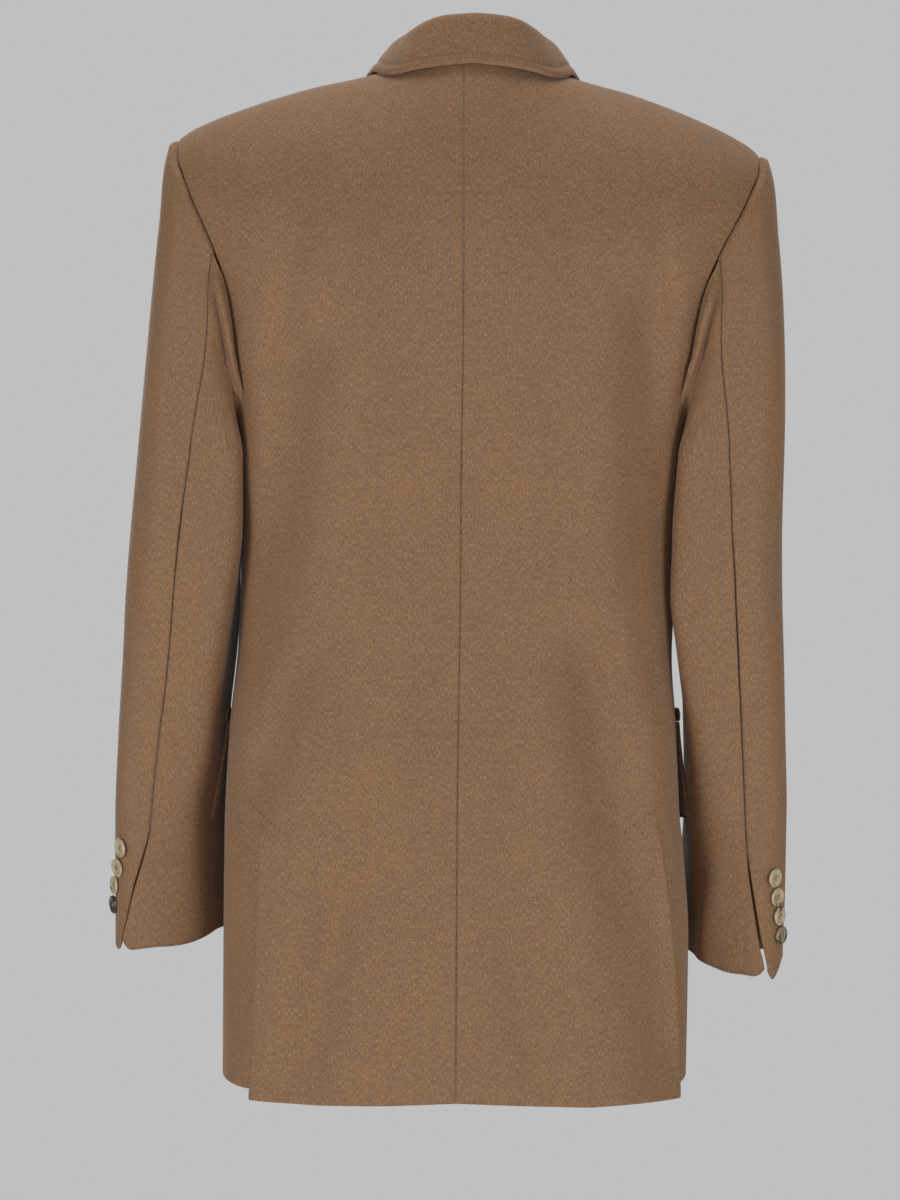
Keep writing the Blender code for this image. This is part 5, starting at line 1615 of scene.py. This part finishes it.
def tube(line, radius, sides=7):
    """Vertices and faces of a closed round tube along a line of points."""
    line = np.array(line)
    ways = unit(np.gradient(line, axis=0))
    aside = unit(np.cross(ways, (0.31, 0.87, 0.13)))
    over = np.cross(ways, aside)
    turns = np.radians(np.arange(sides) * 360.0 / sides)
    ring = np.cos(turns)[:, None, None] * aside + np.sin(turns)[:, None, None] * over
    verts = (line + radius * ring).swapaxes(0, 1).reshape(-1, 3)
    faces = [tuple(range(sides))[::-1], tuple(range(len(verts) - sides, len(verts)))]
    for row in range(len(line) - 1):
        for k in range(sides):
            a, b = row * sides + k, row * sides + (k + 1) % sides
            faces.append((a, b, b + sides, a + sides))
    return verts, faces


STRAND_APART = 0.00030    # between the strands of a button's thread
STRAND_RADIUS = 0.00019


def button_sewing(radius, thickness):
    """The crossed threads on a button, facing +Z: three strands over each diagonal."""
    verts, faces = [], []
    reach, dish = HOLE_OFFSET * radius, 0.17 * thickness
    for layer, turn in enumerate((45.0, 135.0)):
        way = np.array((math.cos(math.radians(turn)), math.sin(math.radians(turn)), 0.0))
        side = np.array((-way[1], way[0], 0.0))
        for strand in (-1, 0, 1):
            line = []
            for t in np.linspace(-1.0, 1.0, 9):
                height = dish + (0.00045 + 0.0003 * layer) * (1 - t * t) - 0.0001
                aside = side * strand * STRAND_APART
                line.append(way * reach * math.sqrt(2) * t + aside + (0, 0, height))
            depth = np.array((0.0, 0.0, -0.75 * thickness - dish))
            line = [line[0] + depth] + line + [line[-1] + depth]
            made, more = tube(line, STRAND_RADIUS)
            faces += [tuple(k + len(verts) for k in face) for face in more]
            verts += list(made)
    return np.array(verts), faces


WRIST = (0.228, -0.055)   # middle of the left cuff, in x and y
RAY_START = 0.02          # how far off the cloth the search for a button's seat starts
SHANK = 0.0004            # of thread between a button and the cloth


@functools.cache
def cloth_tree(piece):
    """The cloth on which buttons are seated, to be searched."""
    mesh = bpy.data.objects[piece].data
    return BVHTree.FromPolygons(*as_lists(mesh))


def seat_of(name, thickness):
    """Middle, outward axis and upward direction of one button, on the cloth that carries it."""
    solid = bpy.data.objects[name]
    points = np.array([solid.matrix_world @ vertex.co for vertex in solid.data.vertices])
    middle = 0.5 * (points.min(axis=0) + points.max(axis=0))
    axis = np.linalg.svd(points - points.mean(axis=0), full_matrices=False)[2][2]
    outward, piece = np.array((0.0, -1.0, 0.0)), "blazer_front_right"
    if name.startswith("cuff"):
        side = name.split("_")[2]
        outward = middle - np.array((math.copysign(WRIST[0], middle[0]), WRIST[1], middle[2]))
        piece = "blazer_upper_sleeve_" + side
        middle = middle + (CUFF_SHIFT[side], 0.0, 0.0)
    axis = axis if np.dot(axis, outward) > 0 else -axis
    hit = cloth_tree(piece).ray_cast(Vector(middle + axis * RAY_START), Vector(-axis))[0]
    middle = np.array(hit) + axis * (0.5 * thickness + SHANK)
    across = unit(np.cross((0.0, 0.0, 1.0), axis))
    return middle, axis, across


def joined(name, shapes, finish_used, sharp=None):
    """One mesh from lists of vertices and faces."""
    verts, faces = [], []
    for made, more in shapes:
        faces += [tuple(k + len(verts) for k in face) for face in more]
        verts += list(made)
    mesh = bpy.data.meshes.new(name)
    mesh.from_pydata([tuple(v) for v in verts], [], faces)
    mesh.shade_smooth()
    if sharp:
        mesh.set_sharp_from_angle(angle=math.radians(sharp))
    return keep_piece(name, mesh, finish_used)


def seated(verts, seat, lean):
    """Points of a button facing +Z, placed on its seat with its holes turned by lean."""
    middle, axis, across = seat
    turn = math.radians(lean)
    right = across * math.cos(turn) + np.cross(axis, across) * math.sin(turn)
    frame_of = np.stack((right, np.cross(axis, right), axis))
    return np.asarray(verts) @ frame_of + middle


BUTTON_LEAN = (8.0, 52.0, 31.0, 74.0, 17.0, 61.0)   # how the buttons' holes turn, in degrees


def make_buttons(name, nodes, size, finish_used):
    """Make the buttons that stand for these nodes, and return the shapes of their sewing."""
    verts, faces = as_lists(button_blank(*size))
    thread_verts, thread_faces = button_sewing(*size)
    shapes, sewing = [], []
    for k, node_name in enumerate(nodes):
        lean = BUTTON_LEAN[(k + len(nodes)) % len(BUTTON_LEAN)]
        seat = seat_of(node_name, size[1])
        shapes.append((seated(verts, seat, lean), faces))
        sewing.append((seated(thread_verts, seat, lean), thread_faces))
    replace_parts(joined(name, shapes, finish_used, 38.0), *nodes)
    return sewing


def make_all_buttons():
    """Three front buttons and four cuff buttons on each side, with their thread."""
    rows = [str(k + 1) for k in range(3)]
    for side in ("left", "right"):
        sewing = make_buttons("front_buttons_" + side, ["front_button_" + side + "_" + k for k in rows],
                              FRONT_BUTTON, HORN_PALE)
        joined("front_button_threads_" + side, sewing, BUTTON_THREAD)
        sewing = make_buttons("cuff_buttons_" + side, ["cuff_button_" + side + "_" + k for k in rows],
                              CUFF_BUTTON, HORN_PALE)
        sewing += make_buttons("cuff_button_last_" + side, ["cuff_button_" + side + "_4"],
                               CUFF_BUTTON, HORN_BROWN)
        joined("cuff_button_threads_" + side, sewing, BUTTON_THREAD)


BUTTONHOLE = (-0.0605, 0.0260, 0.0016)    # outer end, length and half width


def make_buttonholes():
    """Worked keyhole buttonholes of the right front, under the buttons that close it."""
    loops = []
    outer, length, half = BUTTONHOLE
    for z in BUTTON_ROWS:
        turns = np.radians(np.arange(40) * 9.0)
        far = np.cos(turns)
        bulb = 1.0 + 0.6 * ease(-0.6, -1.0, far)
        x = outer + 0.5 * length + 0.5 * length * np.sign(far) * np.abs(far) ** 0.55
        height = z + half * bulb * np.sign(np.sin(turns)) * np.abs(np.sin(turns)) ** 0.8
        line = front_point(-1, x, height, 0.00012)
        loops.append((line, np.tile((0.0, -1.0, 0.0), (len(line), 1))))
    return stitch("front_buttonholes", loops, BUTTONHOLE_STITCH, across=True, loop=True)


# ---- stitches on the cloth ----------------------------------------------------------

# Ends of the tacked diagonal at a vent's top, in x and z.
VENT_TACK = {
    "left": ((0.1590, -0.5572), (0.1340, -0.5770)),
    "right": ((-0.1235, -0.5765), (-0.1500, -0.5580)),
}


def vent_tacks(sign):
    """Pricked tacking stitches that hold a vent's top to its underlap."""
    (x0, z0), (x1, z1) = VENT_TACK[side_name(sign)]
    share = np.linspace(0.0, 1.0, 24)
    x, z = x0 + (x1 - x0) * share, z0 + (z1 - z0) * share
    off_middle = x - read(SETTLE, "middle", z)
    even = np.where(x < 0, off_middle / read(SETTLE, "right_share", z), off_middle)
    px, py, pz = lifted(even, z, 1, vent_lift(sign, even, z))
    line = settle(px, py, pz)
    out = body_normal(px, py, pz)
    return stitch("vent_tacks_" + side_name(sign), [(line, out)], TACK_STITCH)


# ---- all the cloth ------------------------------------------------------------------

BARE_END = 0.006          # of an edge, without stitches
BARE_FRONT = 0.004        # of a front's edge below the break


def edge_stitches(name, points, out, edges):
    """Pick stitches along a grid's edges, each given with the bare lengths at its ends."""
    lines = [inside_edge(points, out, edge, STITCH_INSET, first, last) for edge, first, last in edges]
    return pick_stitches(name, lines)


def declare(piece, node_name, sewn=()):
    """Let a piece of cloth stand for its node."""
    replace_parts(piece, node_name)


def make_side_of(sign):
    """All cloth pieces of one side, with their pick stitches and tacks."""
    side = side_name(sign)
    declare(make_back(sign), "back_" + side, [vent_tacks(sign)])
    declare(make_side(sign), "side_" + side)
    front, front_piece = make_front(sign)
    line, ups = inside_edge(front, FRONT_OUT, "start", STITCH_INSET)
    low = line[:, 2] < BREAK - BARE_FRONT
    sewn = [pick_stitches("front_stitches_" + side, [(line[low], ups[low])])]
    if sign < 0:
        sewn.append(make_buttonholes())
    declare(front_piece, "front_" + side, sewn)
    lapel, piece = make_lapel(sign)
    edging = edge_stitches("lapel_stitches_" + side, lapel, FRONT_OUT,
                           (("end", 0.0, STITCH_INSET), ("top", BARE_END, 0.008)))
    declare(piece, "lapel_" + side, [edging])
    for kind in ("upper", "under"):
        declare(make_sleeve_piece(side, kind), kind + "_sleeve_" + side)
    _, piece = make_jet(sign)
    declare(piece, "pocket_jet_" + side)
    flap, piece = make_flap(sign)
    edges = [(edge, BARE_END, BARE_END) for edge in ("start", "foot", "end")]
    edging = edge_stitches("flap_stitches_" + side, flap, pocket_out(sign), edges)
    declare(piece, "pocket_flap_" + side, [edging])


# ---- light, floor and camera --------------------------------------------------------

def lamp(name, place, aim, size, power):
    """A soft rectangular light that faces its aim."""
    data = bpy.data.lights.new(name, "AREA")
    data.shape = "RECTANGLE"
    data.size, data.size_y = size
    data.energy = power
    made = bpy.data.objects.new(name, data)
    made.location = place
    made.rotation_euler = (Vector(aim) - Vector(place)).to_track_quat("-Z", "Y").to_euler()
    bpy.context.scene.collection.objects.link(made)


FLOOR = (4.4, -1.48)      # radius and height
FLOOR_GREYS = ((0.60, 0.60, 0.60, 1.0), (0.64, 0.64, 0.64, 1.0))


def make_floor():
    """A plain pale floor, a good way below the hem."""
    mesh = bpy.data.meshes.new("floor")
    build = bmesh.new()
    bmesh.ops.create_circle(build, cap_ends=True, radius=FLOOR[0], segments=96)
    build.to_mesh(mesh)
    build.free()
    floor = bpy.data.objects.new("floor", mesh)
    floor.location = (0.0, 0.0, FLOOR[1])
    paint = bpy.data.materials.new("pale floor")
    paint.use_nodes = True
    tree = paint.node_tree
    shader = tree.nodes["Principled BSDF"]
    grain = noise(tree, node(tree, "ShaderNodeTexCoord").outputs["Object"], 3.0, 3.0)
    feed(tree, shader.inputs["Base Color"], mix_colour(tree, grain, *FLOOR_GREYS))
    shader.inputs["Roughness"].default_value = 0.8
    mesh.materials.append(paint)
    bpy.context.scene.collection.objects.link(floor)


BACKDROP = 0.527          # brightness of the plain background
AMBIENT = 0.10            # of the soft light from all round


def make_light():
    """A plain pale surround and the soft lights."""
    world = bpy.data.worlds.new("studio")
    bpy.context.scene.world = world
    world.use_nodes = True
    tree = world.node_tree
    background = tree.nodes["Background"]
    background.inputs["Color"].default_value = (1.0, 1.0, 1.0, 1.0)
    seen = node(tree, "ShaderNodeLightPath").outputs["Is Camera Ray"]
    feed(tree, background.inputs["Strength"], ramp(tree, seen, 0.0, 1.0, AMBIENT, BACKDROP))
    for name, place, aim, size, power in LAMPS:
        lamp(name, place, aim, size, power)


CAMERA = (0.009, 3.570, -0.400)   # behind the wearer, level with the waist
SENSOR = 36.0             # height of the sensor in millimetres
IMAGE_HEIGHT = 1200.0     # of the whole image, in pixels
FOCAL = 4590.0            # focal length in the same pixels


def make_camera():
    """The camera, level and behind the wearer."""
    data = bpy.data.cameras.new("camera")
    data.sensor_fit = "VERTICAL"
    data.sensor_height = SENSOR
    data.lens = SENSOR * FOCAL / IMAGE_HEIGHT
    camera = bpy.data.objects.new("camera", data)
    camera.location = CAMERA
    camera.rotation_euler = (math.radians(90.0), 0.0, math.radians(180.0))
    bpy.context.scene.collection.objects.link(camera)
    bpy.context.scene.camera = camera


def main():
    """Make every piece and the stage."""
    bpy.context.scene.view_settings.view_transform = "Standard"
    for sign in (1, -1):
        make_side_of(sign)
    collar, piece = make_collar()
    line = inside_edge(collar, BACK_OUT, "end", COLLAR_STITCH, first=COLLAR_STITCH, last=COLLAR_STITCH)
    declare(piece, "collar", [pick_stitches("collar_stitches", [line])])
    make_all_buttons()
    make_floor()
    make_light()
    make_camera()


main()
